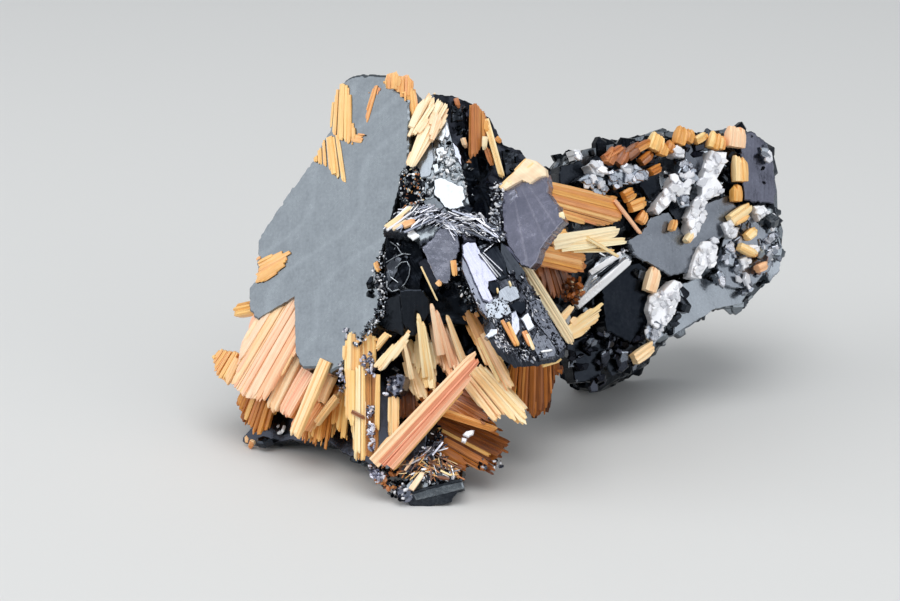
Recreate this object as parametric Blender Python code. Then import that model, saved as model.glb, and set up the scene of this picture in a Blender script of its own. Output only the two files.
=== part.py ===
"""A rutile and hematite cluster: grey hematite plates with sprays of golden rutile blades growing out of them.

Every crystal is placed as the photograph shows it, by the pixels of its corners and by how deep they lie behind the
plane of sharp focus, in millimetres. spot() turns such a place into the part's own frame, in metres, +Z up. The
cluster stands on four small flat feet at z = 0.
"""

import random
from math import cos, pi, radians, sin

import bmesh
import bpy
from mathutils import Matrix, Vector

# Driving dimensions. One pixel at the plane of sharp focus is 1/16 mm, which makes the cluster 39 mm wide.
MM = 0.001
PIXEL = MM / 16
PHOTO_CENTRE = (450, 300)
EYE = 2500 * PIXEL
LOOK_DOWN = radians(20)
BASE_DROP = 12.2 * MM
CENTRE_X = 3.7 * MM
CENTRE_Y = 10.05 * MM
GAP = 0.3 * MM
WELD = 0.0004 * MM
GROUND_SIZE = 200 * MM
MOST_MITRE = 2.0

HEMATITE = ("hematite", (0.16, 0.17, 0.19), 0.28, 0.9)
RUTILE = ("rutile", (0.72, 0.42, 0.18), 0.4, 0.1)
BROWN_RUTILE = ("brown_rutile", (0.28, 0.10, 0.03), 0.35, 0.1)


def spot(px, py, depth):
    """The point seen at a pixel of the photograph, depth millimetres behind the plane of sharp focus."""
    scale = PIXEL * (1 + depth * MM / EYE)
    right = (px - PHOTO_CENTRE[0]) * scale
    up = (PHOTO_CENTRE[1] - py) * scale
    away = depth * MM
    return Vector(
        (
            right - CENTRE_X,
            up * sin(LOOK_DOWN) + away * cos(LOOK_DOWN) - CENTRE_Y,
            up * cos(LOOK_DOWN) - away * sin(LOOK_DOWN) + BASE_DROP,
        )
    )


class Lean:
    """A flat layer through one spot, which gets deeper by right and by up for each millimetre that way."""

    def __init__(self, px, py, depth, right, up):
        self.slopes = (right, up)
        self.level = depth - self.rise(px, py) * (1 + depth * MM / EYE)

    def rise(self, px, py):
        right, up = self.slopes
        return (right * (px - PHOTO_CENTRE[0]) + up * (PHOTO_CENTRE[1] - py)) * PIXEL / MM

    def depth(self, px, py, behind=0.0):
        rise = self.rise(px, py)
        return (self.level + behind + rise) / (1 - rise * MM / EYE)

    def spot(self, px, py, behind=0.0):
        return spot(px, py, self.depth(px, py, behind))


# The big front plate's face, and the layers parallel to it that the blades and the back slab lie in.
FRONT = Lean(385, 335, 1.0, right=-0.69, up=0.255)
VIOLET = Lean(530, 220, 0.6, right=-0.3, up=0.1)
RIGHT = Lean(650, 230, 12.0, right=0.45, up=0.1)


def clear_scene():
    for obj in list(bpy.data.objects):
        bpy.data.objects.remove(obj)


def material(finish):
    name, color, roughness, metallic = finish
    made = bpy.data.materials.get(name)
    if made is None:
        made = bpy.data.materials.new(name)
        made.use_nodes = True
        shader = made.node_tree.nodes["Principled BSDF"]
        shader.inputs["Base Color"].default_value = (*color, 1)
        shader.inputs["Roughness"].default_value = roughness
        shader.inputs["Metallic"].default_value = metallic
    return made


def frame_of(centre, along, facing):
    """The matrix whose z runs along a crystal and whose y is as near to facing as it can be."""
    z = along.normalized()
    x = facing.cross(z).normalized()
    y = z.cross(x)
    turn = Matrix((x, y, z)).transposed().to_4x4()
    return Matrix.Translation(centre) @ turn


def new_mesh(bm, name="crystal"):
    bmesh.ops.recalc_face_normals(bm, faces=bm.faces)
    if bm.calc_volume(signed=True) < 0:
        bmesh.ops.reverse_faces(bm, faces=bm.faces)
    mesh = bpy.data.meshes.new(name)
    bm.to_mesh(mesh)
    bm.free()
    return mesh


def prism(root, tip, width, thickness, facing, sides=4, root_share=1.0, tip_share=0.6):
    """A tapered prism from root to tip, with a flat side towards facing where it has four or six sides."""
    along = tip - root
    bm = bmesh.new()
    bmesh.ops.create_cone(
        bm,
        cap_ends=True,
        segments=sides,
        radius1=root_share,
        radius2=tip_share,
        depth=along.length,
    )
    turn = pi / sides
    reach = cos(turn)
    bmesh.ops.rotate(bm, verts=bm.verts, matrix=Matrix.Rotation(turn, 3, "Z"))
    bmesh.ops.scale(
        bm, verts=bm.verts, vec=(width / 2 / reach, thickness / 2 / reach, 1)
    )
    bm.transform(frame_of((root + tip) / 2, along, facing))
    return new_mesh(bm)


def plate(outline, lean, thickness, behind=0.0):
    """A flat plate: the outline's pixels cast on the lean, and the thickness going away from the eye."""
    points = [lean.spot(px, py, behind) for px, py in outline]
    centre = sum(points, Vector()) / len(points)
    normal = sum(
        ((a - centre).cross(b - centre) for a, b in zip(points, points[1:] + points[:1])),
        Vector(),
    ).normalized()
    if normal.y > 0:
        normal.negate()
    frame = frame_of(centre - normal * thickness / 2, normal, Vector((0, 0, 1)))
    into = frame.inverted()
    curve = bpy.data.curves.new("outline", "CURVE")
    curve.dimensions = "2D"
    curve.fill_mode = "BOTH"
    curve.extrude = thickness / 2
    spline = curve.splines.new("POLY")
    spline.points.add(len(points) - 1)
    for corner, point in zip(spline.points, points):
        flat = into @ point
        corner.co = (flat.x, flat.y, 0, 1)
    spline.use_cyclic_u = True
    drawn = bpy.data.objects.new("outline", curve)
    bpy.context.scene.collection.objects.link(drawn)
    graph = bpy.context.evaluated_depsgraph_get()
    bm = bmesh.new()
    bm.from_mesh(bpy.data.meshes.new_from_object(drawn.evaluated_get(graph)))
    bpy.data.objects.remove(drawn)
    bmesh.ops.remove_doubles(bm, verts=bm.verts, dist=WELD)
    bm.transform(frame)
    return new_mesh(bm)


def shard(*corners):
    """A flat-faced crystal: the convex hull of its corners, each a pixel and a depth."""
    bm = bmesh.new()
    for corner in corners:
        bm.verts.new(spot(*corner))
    hull = bmesh.ops.convex_hull(bm, input=bm.verts)
    loose = [v for v in hull["geom_interior"] if isinstance(v, bmesh.types.BMVert)]
    bmesh.ops.delete(bm, geom=loose, context="VERTS")
    return new_mesh(bm)


def grains(draw, places, size, sides=6):
    """Short six-sided crystals turned at random, one at each place."""
    made = []
    for place in places:
        axis = Vector([draw.uniform(-1, 1) for _ in range(3)]).normalized()
        half = axis * size * draw.uniform(0.35, 0.6)
        facing = axis.orthogonal()
        centre = spot(*place)
        width = size * draw.uniform(0.9, 1.3)
        made.append(
            prism(centre - half, centre + half, width, width * 0.8, facing, sides, 1.0, 0.75)
        )
    return made


def bundle(draw, roots, tips, thickness, count, layers=1, ragged=0.12):
    """Blades side by side, their roots on one edge and their tips on another; each edge is two spots."""
    root_a, root_b = roots
    tip_a, tip_b = tips
    width = ((root_b - root_a).length + (tip_b - tip_a).length) / 2 / count
    facing = (root_b - root_a + tip_b - tip_a).cross(tip_a + tip_b - root_a - root_b)
    facing.normalize()
    if facing.y > 0:
        facing.negate()
    made = []
    for layer in range(layers):
        for index in range(count):
            share = (index + 0.5 + draw.uniform(-0.15, 0.15)) / count
            root = root_a.lerp(root_b, share)
            tip = tip_a.lerp(tip_b, share)
            reach = 1 - ragged * draw.random() - 0.1 * layer
            shift = facing * thickness * (0.5 * (layers - 1) - layer) / layers
            shift += facing * thickness * draw.uniform(-0.08, 0.08)
            made.append(
                prism(
                    root + shift,
                    root.lerp(tip, reach) + shift,
                    width * 1.4,
                    thickness / layers * 1.3,
                    facing,
                    root_share=1.0,
                    tip_share=0.72,
                )
            )
    return made


def grown(mesh):
    """A copy of a crystal whose faces stand out by the gap, to cut its neighbours clear of it."""
    bm = bmesh.new()
    bm.from_mesh(mesh)
    bm.normal_update()
    moves = [v.normal * GAP * min(v.calc_shell_factor(), MOST_MITRE) for v in bm.verts]
    for vertex, move in zip(bm.verts, moves):
        vertex.co += move
    return new_mesh(bm, "grown")


def helper(mesh):
    obj = bpy.data.objects.new("helper", mesh)
    bpy.context.scene.collection.objects.link(obj)
    return obj


def apart(box_a, box_b):
    return any(box_a[0][k] > box_b[1][k] or box_b[0][k] > box_a[1][k] for k in range(3))


def box_of(mesh):
    low = Vector([min(v.co[k] for v in mesh.vertices) for k in range(3)])
    high = Vector([max(v.co[k] for v in mesh.vertices) for k in range(3)])
    return low, high


def combined(mesh, other, operation):
    """The mesh joined with, or cut by, another in an exact Boolean."""
    obj, tool = helper(mesh), helper(other)
    modifier = obj.modifiers.new("boolean", "BOOLEAN")
    modifier.operation = operation
    modifier.solver = "EXACT"
    modifier.object = tool
    graph = bpy.context.evaluated_depsgraph_get()
    made = bpy.data.meshes.new_from_object(obj.evaluated_get(graph))
    bpy.data.objects.remove(tool)
    bpy.data.objects.remove(obj)
    return made


def joined(crystals):
    """All the crystals as one mesh."""
    whole = crystals[0]
    for crystal in crystals[1:]:
        whole = combined(whole, crystal, "UNION")
    return whole


def largest_island(mesh):
    """Drops what a cut has left loose, and keeps the body with the most volume."""
    bm = bmesh.new()
    bm.from_mesh(mesh)
    bmesh.ops.remove_doubles(bm, verts=bm.verts, dist=WELD)
    bmesh.ops.dissolve_limit(
        bm, angle_limit=radians(0.5), verts=bm.verts, edges=bm.edges
    )
    bmesh.ops.triangulate(bm, faces=bm.faces)
    islands = []
    unseen = set(bm.faces)
    while unseen:
        island, front = set(), [unseen.pop()]
        while front:
            face = front.pop()
            island.add(face)
            whole = [edge for edge in face.edges if len(edge.link_faces) == 2]
            near = {f for edge in whole for f in edge.link_faces} & unseen
            unseen -= near
            front.extend(near)
        volume = sum(
            f.verts[0].co.dot(f.verts[1].co.cross(f.verts[2].co)) / 6 for f in island
        )
        islands.append((volume, island))
    best = max(islands, key=lambda entry: entry[0])[1]
    bmesh.ops.delete(bm, geom=[f for f in bm.faces if f not in best], context="FACES")
    return new_mesh(bm)


def below_ground():
    """A block whose top is the ground that the cluster stands on."""
    bm = bmesh.new()
    bmesh.ops.create_cube(bm, size=GROUND_SIZE)
    bm.transform(Matrix.Translation((0, 0, -GROUND_SIZE / 2)))
    return new_mesh(bm)


class Cluster:
    """Adds the nodes in turn. Each is cut clear of those that came before it, and flat at the ground."""

    def __init__(self):
        self.placed = []
        self.origin = bpy.data.objects.new("rutile_cluster_origin", None)
        self.collection = bpy.data.collections.new("rutile_cluster")
        bpy.context.scene.collection.children.link(self.collection)
        self.collection.objects.link(self.origin)

    def add(self, name, finish, crystals):
        solid = joined(crystals)
        box = box_of(solid)
        for cutter, reach in self.placed:
            if not apart(box, reach):
                solid = combined(solid, cutter, "DIFFERENCE")
        if box[0].z < 0:
            solid = combined(solid, below_ground(), "DIFFERENCE")
        solid = largest_island(solid)
        solid.name = name
        solid.materials.clear()
        solid.materials.append(material(finish))
        low, high = box_of(solid)
        middle = (low + high) / 2
        solid.transform(Matrix.Translation(-middle))
        obj = bpy.data.objects.new(name, solid)
        obj.location = middle
        obj.parent = self.origin
        self.collection.objects.link(obj)
        cutter = joined([grown(crystal) for crystal in crystals])
        self.placed.append((cutter, box_of(cutter)))


def edge(lean, start, end, behind=0.0):
    """Two spots on a lean, or on a layer behind it."""
    return lean.spot(*start, behind), lean.spot(*end, behind)


def blade(start, end, width, thickness, tip_share=0.5):
    """One flat blade seen broad side on, between two spots given as pixel and depth."""
    towards_eye = Vector((0, -cos(LOOK_DOWN), sin(LOOK_DOWN)))
    return prism(
        spot(*start), spot(*end), width * MM, thickness * MM, towards_eye, 4, 1.0, tip_share
    )


def add_inlays(cluster):
    """Golden wedges set flush in the face of the main plate."""
    upper = (
        (341, 88), (347, 95), (350, 120), (362, 137), (352, 142), (339, 141), (340, 160),
        (345, 188), (335, 172), (325, 163), (312, 158), (322, 140), (328, 136), (335, 100),
    )
    left = ((254, 258), (287, 252), (282, 265), (270, 278), (254, 281))
    cluster.add("rutile_upper_inlay", RUTILE, [plate(upper, FRONT, 0.9 * MM, -0.15)])
    cluster.add("rutile_left_inlay", RUTILE, [plate(left, FRONT, 0.9 * MM, -0.15)])


def add_main_plate(cluster, draw):
    """The big plate, and the blocks that crowd its right edge."""
    outline = (
        (345, 81), (352, 75), (388, 75), (410, 98), (408, 163), (391, 221), (384, 251),
        (372, 276), (382, 300), (372, 324), (349, 351), (341, 366), (325, 370), (299, 356),
        (294, 328), (292, 297), (250, 313), (250, 290), (257, 240), (272, 220), (288, 186),
        (308, 165), (319, 154), (330, 125), (334, 105),
    )
    blocks = (
        (384, 256, 1.7), (378, 264, 1.9), (370, 280, 2.1), (376, 290, 1.7), (381, 304, 1.3),
        (378, 316, 1.3), (371, 327, 1.6), (364, 336, 1.8), (392, 232, 2.2),
    )
    crystals = [plate(outline, FRONT, 3.0 * MM)] + grains(draw, blocks, 0.75 * MM)
    cluster.add("hematite_main_plate", HEMATITE, crystals)


def add_centre(cluster, draw):
    """The core between the plates with the crystals that stand out of it towards the viewer."""
    core = shard(
        (392, 236, 3.4), (405, 222, 3.0), (470, 214, 2.6), (505, 240, 2.4), (520, 290, 1.8),
        (470, 322, 2.2), (430, 322, 2.2), (402, 330, 2.4), (388, 300, 2.8), (412, 226, 7.0),
        (500, 232, 7.5), (505, 300, 7.0), (440, 325, 7.0), (410, 310, 6.5),
    )
    ledge = shard(
        (385, 226, 1.6), (405, 209, 2.0), (432, 204, 2.2), (476, 212, 1.8), (499, 240, 1.4),
        (492, 224, 3.4), (474, 234, 1.0), (430, 236, 0.6), (400, 233, 1.2), (410, 218, 4.0),
        (470, 226, 4.0),
    )
    lilac_face = shard(
        (422, 240, 0.6), (430, 231, 0.9), (446, 228, 0.9), (459, 240, 0.5), (455, 262, 0.3),
        (449, 281, 0.5), (440, 281, 0.6), (428, 263, 0.6), (424, 244, 3.0), (458, 244, 3.0),
        (446, 284, 3.0),
    )
    mirror_low = shard(
        (382, 300, 1.7), (405, 292, 0.5), (429, 295, 0.9), (431, 310, 1.0), (416, 336, 1.3),
        (402, 337, 1.3), (388, 330, 1.7), (384, 310, 3.4), (428, 300, 3.4), (410, 334, 3.4),
    )
    mirror_high = shard(
        (387, 233, 2.3), (402, 228, 1.8), (422, 238, 1.9), (430, 292, 1.6), (405, 296, 1.2),
        (385, 290, 2.2), (392, 240, 4.4), (428, 250, 4.4), (420, 292, 4.2),
    )
    long_prism = prism(
        spot(480, 232, 2.2), spot(547, 350, -1.4), 3.8 * MM, 3.0 * MM,
        Vector((-0.5, -0.8, 0.3)), 6, 0.72, 1.0,
    )
    side_prism = prism(
        spot(486, 262, 1.6), spot(527, 354, -0.6), 3.0 * MM, 2.6 * MM,
        Vector((-0.2, -0.9, 0.3)), 6, 0.7, 1.0,
    )
    strip = prism(
        spot(441, 116, 4.4), spot(450, 214, 2.2), 1.5 * MM, 1.6 * MM,
        Vector((0.3, -0.9, 0.3)), 6, 0.8, 1.2,
    )
    knob_places = (
        (408, 172, 2.3), (413, 181, 2.2), (407, 190, 2.1), (414, 200, 2.1), (410, 210, 2.3),
    )
    step_places = (
        (490, 335, -0.2), (500, 350, -0.3), (512, 318, -1.4), (530, 322, -1.6), (470, 300, 1.0),
        (462, 284, 1.0), (458, 268, 1.0), (496, 190, 2.4), (495, 206, 2.2), (495, 222, 1.9),
        (548, 352, -1.6), (520, 352, -1.2),
    )
    crystals = [core, ledge, lilac_face, mirror_low, mirror_high, long_prism, side_prism]
    crystals += [strip] + grains(draw, knob_places, 1.35 * MM) + grains(draw, step_places, 1.0 * MM)
    cluster.add("hematite_centre", HEMATITE, crystals)


def add_violet_plate(cluster):
    """The small plate right of the middle, with a cream wedge along its top."""
    outline = (
        (503, 188), (510, 183), (525, 183), (546, 171), (548, 186), (558, 205), (562, 215),
        (550, 232), (540, 245), (536, 262), (530, 266), (520, 258), (505, 240), (500, 228),
    )
    cap = ((502, 187), (515, 171), (528, 157), (536, 160), (546, 167), (530, 181), (515, 181))
    cluster.add("hematite_violet_plate", HEMATITE, [plate(outline, VIOLET, 1.5 * MM)])
    cluster.add("rutile_cap", RUTILE, [plate(cap, VIOLET, 1.3 * MM, -0.1)])


def add_top_plate(cluster):
    """The dark plate behind the crest, and the neck that carries the right-hand group."""
    outline = (
        (420, 104), (450, 95), (458, 97), (472, 103), (490, 118), (500, 135), (504, 145),
        (520, 150), (526, 158), (528, 215), (520, 250), (440, 250), (425, 215), (418, 150),
    )
    dark = Lean(470, 150, 5.2, right=0.25, up=0.1)
    neck = shard(
        (500, 190, 7.5), (545, 200, 8.0), (600, 190, 11.0), (610, 260, 11.5), (590, 330, 11.5),
        (545, 320, 7.5), (510, 300, 6.5), (505, 205, 12.0), (600, 200, 16.0), (595, 330, 16.0),
        (530, 320, 12.0),
    )
    cluster.add("hematite_top_plate", HEMATITE, [plate(outline, dark, 2.8 * MM)])
    cluster.add("hematite_neck", HEMATITE, [neck])


def add_back_slab(cluster, draw):
    """The plate parallel to the main one, whose lower edge is the left foot, and the block behind it."""
    outline = (
        (360, 84), (402, 92), (425, 130), (428, 220), (432, 330), (428, 420), (420, 498),
        (380, 484), (352, 462), (330, 443), (288, 440), (262, 446), (242, 448), (238, 434),
        (252, 416), (246, 380), (262, 318), (268, 260), (296, 200), (330, 150),
    )
    block = shard(
        (345, 300, 10.8), (400, 270, 8.6), (432, 330, 6.6), (440, 400, 5.0), (370, 420, 8.0),
        (335, 395, 10.5), (350, 320, 16.0), (405, 300, 15.0), (440, 340, 14.0),
        (430, 420, 14.0), (372, 425, 17.0), (338, 400, 17.0),
    )
    toe = ((246, 446, 9.2), (254, 442, 9.0), (268, 438, 8.2), (280, 434, 7.8))
    crystals = [plate(outline, FRONT, 2.6 * MM, 4.1)] + grains(draw, toe, 1.0 * MM)
    cluster.add("hematite_back_slab", HEMATITE, crystals)
    cluster.add("hematite_rear_crystal", HEMATITE, [block])


def add_foot(cluster, draw):
    """The black crystal at the bottom with the crumbly crystals beside it."""
    facet = shard(
        (403, 496, 0.0), (413, 512, 0.3), (452, 503, 0.1), (464, 482, 0.3), (462, 476, 0.5),
        (440, 466, 1.0), (420, 470, 0.6), (404, 486, 0.2), (405, 494, 3.4), (415, 506, 4.4),
        (455, 496, 4.4), (464, 472, 3.6), (432, 462, 3.4),
    )
    crumbs = (
        (384, 468, 0.9), (380, 480, 1.2), (392, 484, 1.0), (396, 496, 1.2), (402, 480, 1.0),
    )
    cluster.add("hematite_foot_crystal", HEMATITE, [facet] + grains(draw, crumbs, 1.0 * MM))


def add_right_group(cluster, draw):
    """The group at the right: a slab with lumps below and a rim at its right, and plates on its front."""
    slab = (
        (566, 172), (583, 150), (620, 142), (660, 130), (700, 134), (727, 128), (750, 132),
        (768, 143), (777, 190), (778, 230), (768, 275), (742, 304), (715, 306), (690, 326),
        (640, 350), (590, 345), (572, 300), (575, 230),
    )
    lower_lump = shard(
        (562, 340, 12.5), (600, 325, 12.0), (650, 322, 12.8), (668, 338, 13.6),
        (640, 362, 15.5), (600, 390, 17.5), (574, 386, 17.0), (560, 362, 15.0),
        (590, 330, 18.0), (660, 325, 19.0), (640, 368, 20.0), (600, 396, 20.5), (575, 388, 19.5),
    )
    rim = shard(
        (722, 212, 14.6), (776, 206, 16.0), (782, 254, 16.0), (762, 286, 16.2),
        (742, 308, 16.4), (716, 308, 15.8), (702, 288, 14.6), (726, 250, 13.8),
        (774, 215, 20.0), (776, 260, 20.0), (740, 300, 20.0), (720, 220, 19.0),
    )
    dark_lump = shard(
        (600, 268, 11.0), (650, 262, 11.6), (664, 296, 12.4), (648, 334, 13.0),
        (600, 336, 12.4), (586, 306, 11.8), (624, 298, 10.6), (605, 280, 16.0), (650, 320, 16.0),
    )
    high_lump = shard(
        (562, 166, 12.2), (600, 146, 13.2), (655, 133, 14.6), (702, 156, 14.4),
        (704, 190, 13.6), (650, 202, 12.0), (600, 200, 11.4), (570, 190, 11.8),
        (585, 165, 18.0), (690, 150, 19.0), (690, 200, 18.5), (590, 200, 17.0),
    )
    rear_lump = shard(
        (600, 200, 16.0), (690, 170, 18.0), (740, 190, 19.0), (720, 290, 19.0),
        (630, 330, 17.5), (590, 280, 15.5), (640, 220, 22.5), (700, 210, 23.0),
        (690, 270, 22.5), (630, 300, 21.5),
    )
    ridges = (
        (724, 156), (717, 168), (710, 180), (706, 194), (702, 208), (700, 222), (704, 246),
        (702, 260), (699, 272), (688, 184), (679, 192), (669, 202), (676, 292), (668, 304),
        (664, 317), (657, 328), (752, 224), (760, 240), (754, 256), (762, 270),
    )
    ridge_places = [(px, py, RIGHT.depth(px, py, 0.9)) for px, py in ridges]
    crystals = [plate(slab, RIGHT, 4.0 * MM, 1.9), lower_lump, rim, dark_lump, high_lump]
    crystals += [rear_lump] + grains(draw, ridge_places, 1.3 * MM)
    front_plate = (
        (627, 240), (640, 266), (668, 277), (688, 279), (691, 240), (695, 206), (682, 200),
        (662, 214), (645, 228),
    )
    far_plate = ((740, 136), (752, 132), (766, 141), (773, 160), (778, 190), (774, 203), (744, 200))
    silver = shard(
        (590, 268, 9.6), (605, 254, 10.4), (620, 252, 10.8), (633, 258, 10.8), (629, 268, 10.2),
        (579, 306, 8.8), (573, 299, 9.2), (600, 268, 12.0), (628, 262, 12.4), (584, 302, 11.0),
    )
    cluster.add("hematite_right_plate", HEMATITE, [plate(front_plate, RIGHT, 1.6 * MM)])
    cluster.add("hematite_far_plate", HEMATITE, [plate(far_plate, RIGHT, 1.6 * MM, -0.2)])
    cluster.add("hematite_silver_blade", HEMATITE, [silver])
    cluster.add("hematite_right_body", HEMATITE, crystals)


def add_front_blade(cluster):
    """The long pink blade that crosses the front from the foot to the prism."""
    crystals = [
        blade((377, 462, 0.3), (450, 383, -0.5), 1.0, 0.8, 1.0),
        blade((440, 394, -0.4), (483, 348, -0.9), 1.0, 0.75, 0.35),
    ]
    cluster.add("rutile_front_blade", RUTILE, crystals)


def add_left_sprays(cluster, draw):
    """The fan and the fingers below the main plate, and the brown fringe behind their tips."""
    fan = bundle(
        draw, edge(FRONT, (258, 306), (301, 346), 1.6), edge(FRONT, (226, 374), (272, 404), 1.7),
        2.6 * MM, 7, 2, 0.14,
    )
    fan += [
        blade((246, 330, 8.4), (218, 372, 9.0), 1.2, 1.4),
        blade((254, 306, 8.2), (238, 312, 9.2), 1.1, 1.2, 0.8),
    ]
    fingers = bundle(
        draw, edge(FRONT, (300, 354), (346, 360), 1.5), edge(FRONT, (266, 412), (322, 446), 1.7),
        2.6 * MM, 6, 2, 0.28,
    )
    fringe = bundle(
        draw, edge(FRONT, (248, 392), (344, 396), 3.2), edge(FRONT, (236, 432), (344, 442), 3.4),
        1.2 * MM, 9, 1, 0.35,
    )
    cluster.add("rutile_left_fan", RUTILE, fan)
    cluster.add("rutile_fingers", RUTILE, fingers)
    cluster.add("rutile_lower_fringe", BROWN_RUTILE, fringe)


def add_middle_sprays(cluster, draw):
    """The upright column, and the short blades in the hollow beside it."""
    column = bundle(
        draw, (spot(349, 330, 2.2), spot(377, 326, 1.8)), (spot(350, 463, 1.2), spot(378, 462, 0.9)),
        2.2 * MM, 4, 2, 0.1,
    )
    short = bundle(
        draw, (spot(394, 330, 1.2), spot(410, 338, 1.0)), (spot(372, 374, 0.4), spot(384, 384, 0.4)),
        1.2 * MM, 3, 1, 0.1,
    )
    inner = bundle(
        draw, (spot(386, 384, 2.4), spot(404, 388, 2.4)), (spot(390, 442, 1.8), spot(404, 434, 1.8)),
        1.4 * MM, 3, 1, 0.15,
    )
    cluster.add("rutile_column", RUTILE, column)
    cluster.add("rutile_short_blades", RUTILE, short)
    cluster.add("rutile_inner_blades", RUTILE, inner)


def add_right_sprays(cluster, draw):
    """The front spray below the centre, and the brown sprays beyond the long blade."""
    spray = bundle(
        draw, (spot(404, 332, 3.4), spot(474, 316, 3.0)), (spot(424, 404, 1.4), spot(527, 424, 1.0)),
        2.6 * MM, 8, 2, 0.16,
    )
    brown = bundle(
        draw, (spot(430, 412, 2.6), spot(432, 478, 2.2)), (spot(514, 428, 1.8), spot(496, 476, 1.6)),
        2.8 * MM, 7, 2, 0.2,
    )
    far_brown = bundle(
        draw, (spot(516, 352, 5.0), spot(556, 352, 5.0)), (spot(520, 422, 5.0), spot(560, 404, 5.0)),
        2.4 * MM, 4, 2, 0.2,
    )
    cluster.add("rutile_front_spray", RUTILE, spray)
    cluster.add("rutile_brown_spray", BROWN_RUTILE, brown)
    cluster.add("rutile_far_brown_spray", BROWN_RUTILE, far_brown)


def add_crest(cluster, draw):
    """The golden knobs along the top, the pink bundle beside them, and the orange blades behind."""
    top_strip = [
        blade((386, 84, 4.2), (396, 72, 4.6), 0.8, 1.2, 0.9),
        blade((396, 86, 4.0), (408, 76, 4.2), 0.9, 1.2, 0.9),
        blade((404, 78, 3.9), (414, 120, 3.2), 0.7, 1.2, 0.7),
    ]
    crest = bundle(
        draw, (spot(424, 94, 4.4), spot(452, 102, 4.4)), (spot(406, 156, 2.8), spot(420, 166, 2.8)),
        1.6 * MM, 4, 1, 0.2,
    )
    top_blades = [
        blade((474, 98, 4.6), (474, 162, 4.2), 1.0, 1.0, 0.6),
        blade((482, 112, 4.6), (484, 152, 4.4), 0.8, 0.8, 0.6),
        blade((488, 118, 4.8), (506, 180, 4.2), 0.5, 0.8, 0.7),
        blade((470, 116, 4.8), (494, 124, 4.8), 0.6, 0.8, 1.0),
    ]
    cluster.add("rutile_top_strip", RUTILE, top_strip)
    cluster.add("rutile_crest", RUTILE, crest)
    cluster.add("rutile_top_blades", RUTILE, top_blades)


def add_bridge(cluster, draw):
    """The orange bundles from the centre to the right-hand group, and the two cream blades below."""
    upper = bundle(
        draw, (spot(540, 188, 4.4), spot(552, 216, 4.2)), (spot(618, 200, 9.4), spot(624, 224, 9.0)),
        1.8 * MM, 4, 2, 0.1,
    )
    lower = bundle(
        draw, (spot(546, 232, 3.8), spot(540, 264, 3.4)), (spot(616, 232, 8.8), spot(592, 272, 7.6)),
        1.8 * MM, 5, 2, 0.2,
    )
    vee = [
        blade((524, 262, 3.0), (573, 340, 4.4), 0.65, 0.8, 0.8),
        blade((566, 330, 4.4), (607, 302, 7.0), 0.8, 0.9, 0.6),
    ]
    cluster.add("rutile_bridge_upper", RUTILE, upper)
    cluster.add("rutile_bridge_lower", RUTILE, lower)
    cluster.add("rutile_vee", RUTILE, vee)


def add_right_rutile(cluster, draw):
    """Golden blocks along the top of the right-hand group and down its right side."""
    crest = (
        (618, 161), (631, 152), (645, 144), (659, 140), (673, 134), (688, 132), (703, 131),
        (718, 134), (733, 136),
    )
    strip = (
        (739, 160), (739, 172), (738, 184), (736, 196), (736, 208), (746, 214), (749, 226),
        (748, 238), (744, 249),
    )
    crest_places = [(px, py, RIGHT.depth(px, py, 0.6)) for px, py in crest]
    strip_places = [(px, py, RIGHT.depth(px, py, 0.2)) for px, py in strip]
    cluster.add("rutile_right_crest", RUTILE, grains(draw, crest_places, 1.3 * MM))
    cluster.add("rutile_right_strip", RUTILE, grains(draw, strip_places, 1.1 * MM))


def add_rear_fan(cluster, draw):
    """Blades that lie on the back of the back slab, out of the photograph's sight."""
    fan = bundle(
        draw, edge(FRONT, (345, 150), (395, 160), 8.2), edge(FRONT, (292, 250), (372, 262), 8.2),
        1.4 * MM, 6, 1, 0.3,
    )
    cluster.add("rutile_rear_fan", RUTILE, fan)


def build():
    clear_scene()
    draw = random.Random(11)
    cluster = Cluster()
    add_inlays(cluster)
    add_main_plate(cluster, draw)
    add_front_blade(cluster)
    add_centre(cluster, draw)
    add_violet_plate(cluster)
    add_crest(cluster, draw)
    add_bridge(cluster, draw)
    add_right_rutile(cluster, draw)
    add_foot(cluster, draw)
    add_middle_sprays(cluster, draw)
    add_left_sprays(cluster, draw)
    add_right_sprays(cluster, draw)
    add_top_plate(cluster)
    add_right_group(cluster, draw)
    add_back_slab(cluster, draw)
    add_rear_fan(cluster, draw)


build()
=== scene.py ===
# %% [markdown]
# # A rutile cluster, crystal by crystal
#
# The specimen is two minerals that grew together. Steel-grey hematite makes flat plates, blocks and
# crumbly crusts, and golden rutile makes sheaves of thin parallel blades between them. The solids of the
# frame hold where each crystal is. This script gives each of them its many small blades, steps, chips and
# glints.
#
# The frame comes first, because every new piece has to lie where its solid lies.

# %% Load the frame
from math import cos, pi, radians, sin

import bpy
import numpy as np
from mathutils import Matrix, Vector


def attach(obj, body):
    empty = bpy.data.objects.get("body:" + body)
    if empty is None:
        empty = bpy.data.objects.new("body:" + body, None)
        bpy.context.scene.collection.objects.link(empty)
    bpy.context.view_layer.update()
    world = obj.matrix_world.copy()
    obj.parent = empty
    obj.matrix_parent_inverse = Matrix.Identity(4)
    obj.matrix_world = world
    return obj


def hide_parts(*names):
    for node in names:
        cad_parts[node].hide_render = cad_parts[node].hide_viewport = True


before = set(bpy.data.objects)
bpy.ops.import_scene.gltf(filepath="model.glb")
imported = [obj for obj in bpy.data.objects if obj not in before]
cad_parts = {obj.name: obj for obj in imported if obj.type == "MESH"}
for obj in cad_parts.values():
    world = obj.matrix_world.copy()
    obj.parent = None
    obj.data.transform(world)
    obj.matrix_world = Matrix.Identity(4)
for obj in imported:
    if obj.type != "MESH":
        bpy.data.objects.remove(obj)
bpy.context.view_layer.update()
draw = np.random.default_rng(7)
print("solids in the frame:", len(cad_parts))

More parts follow.
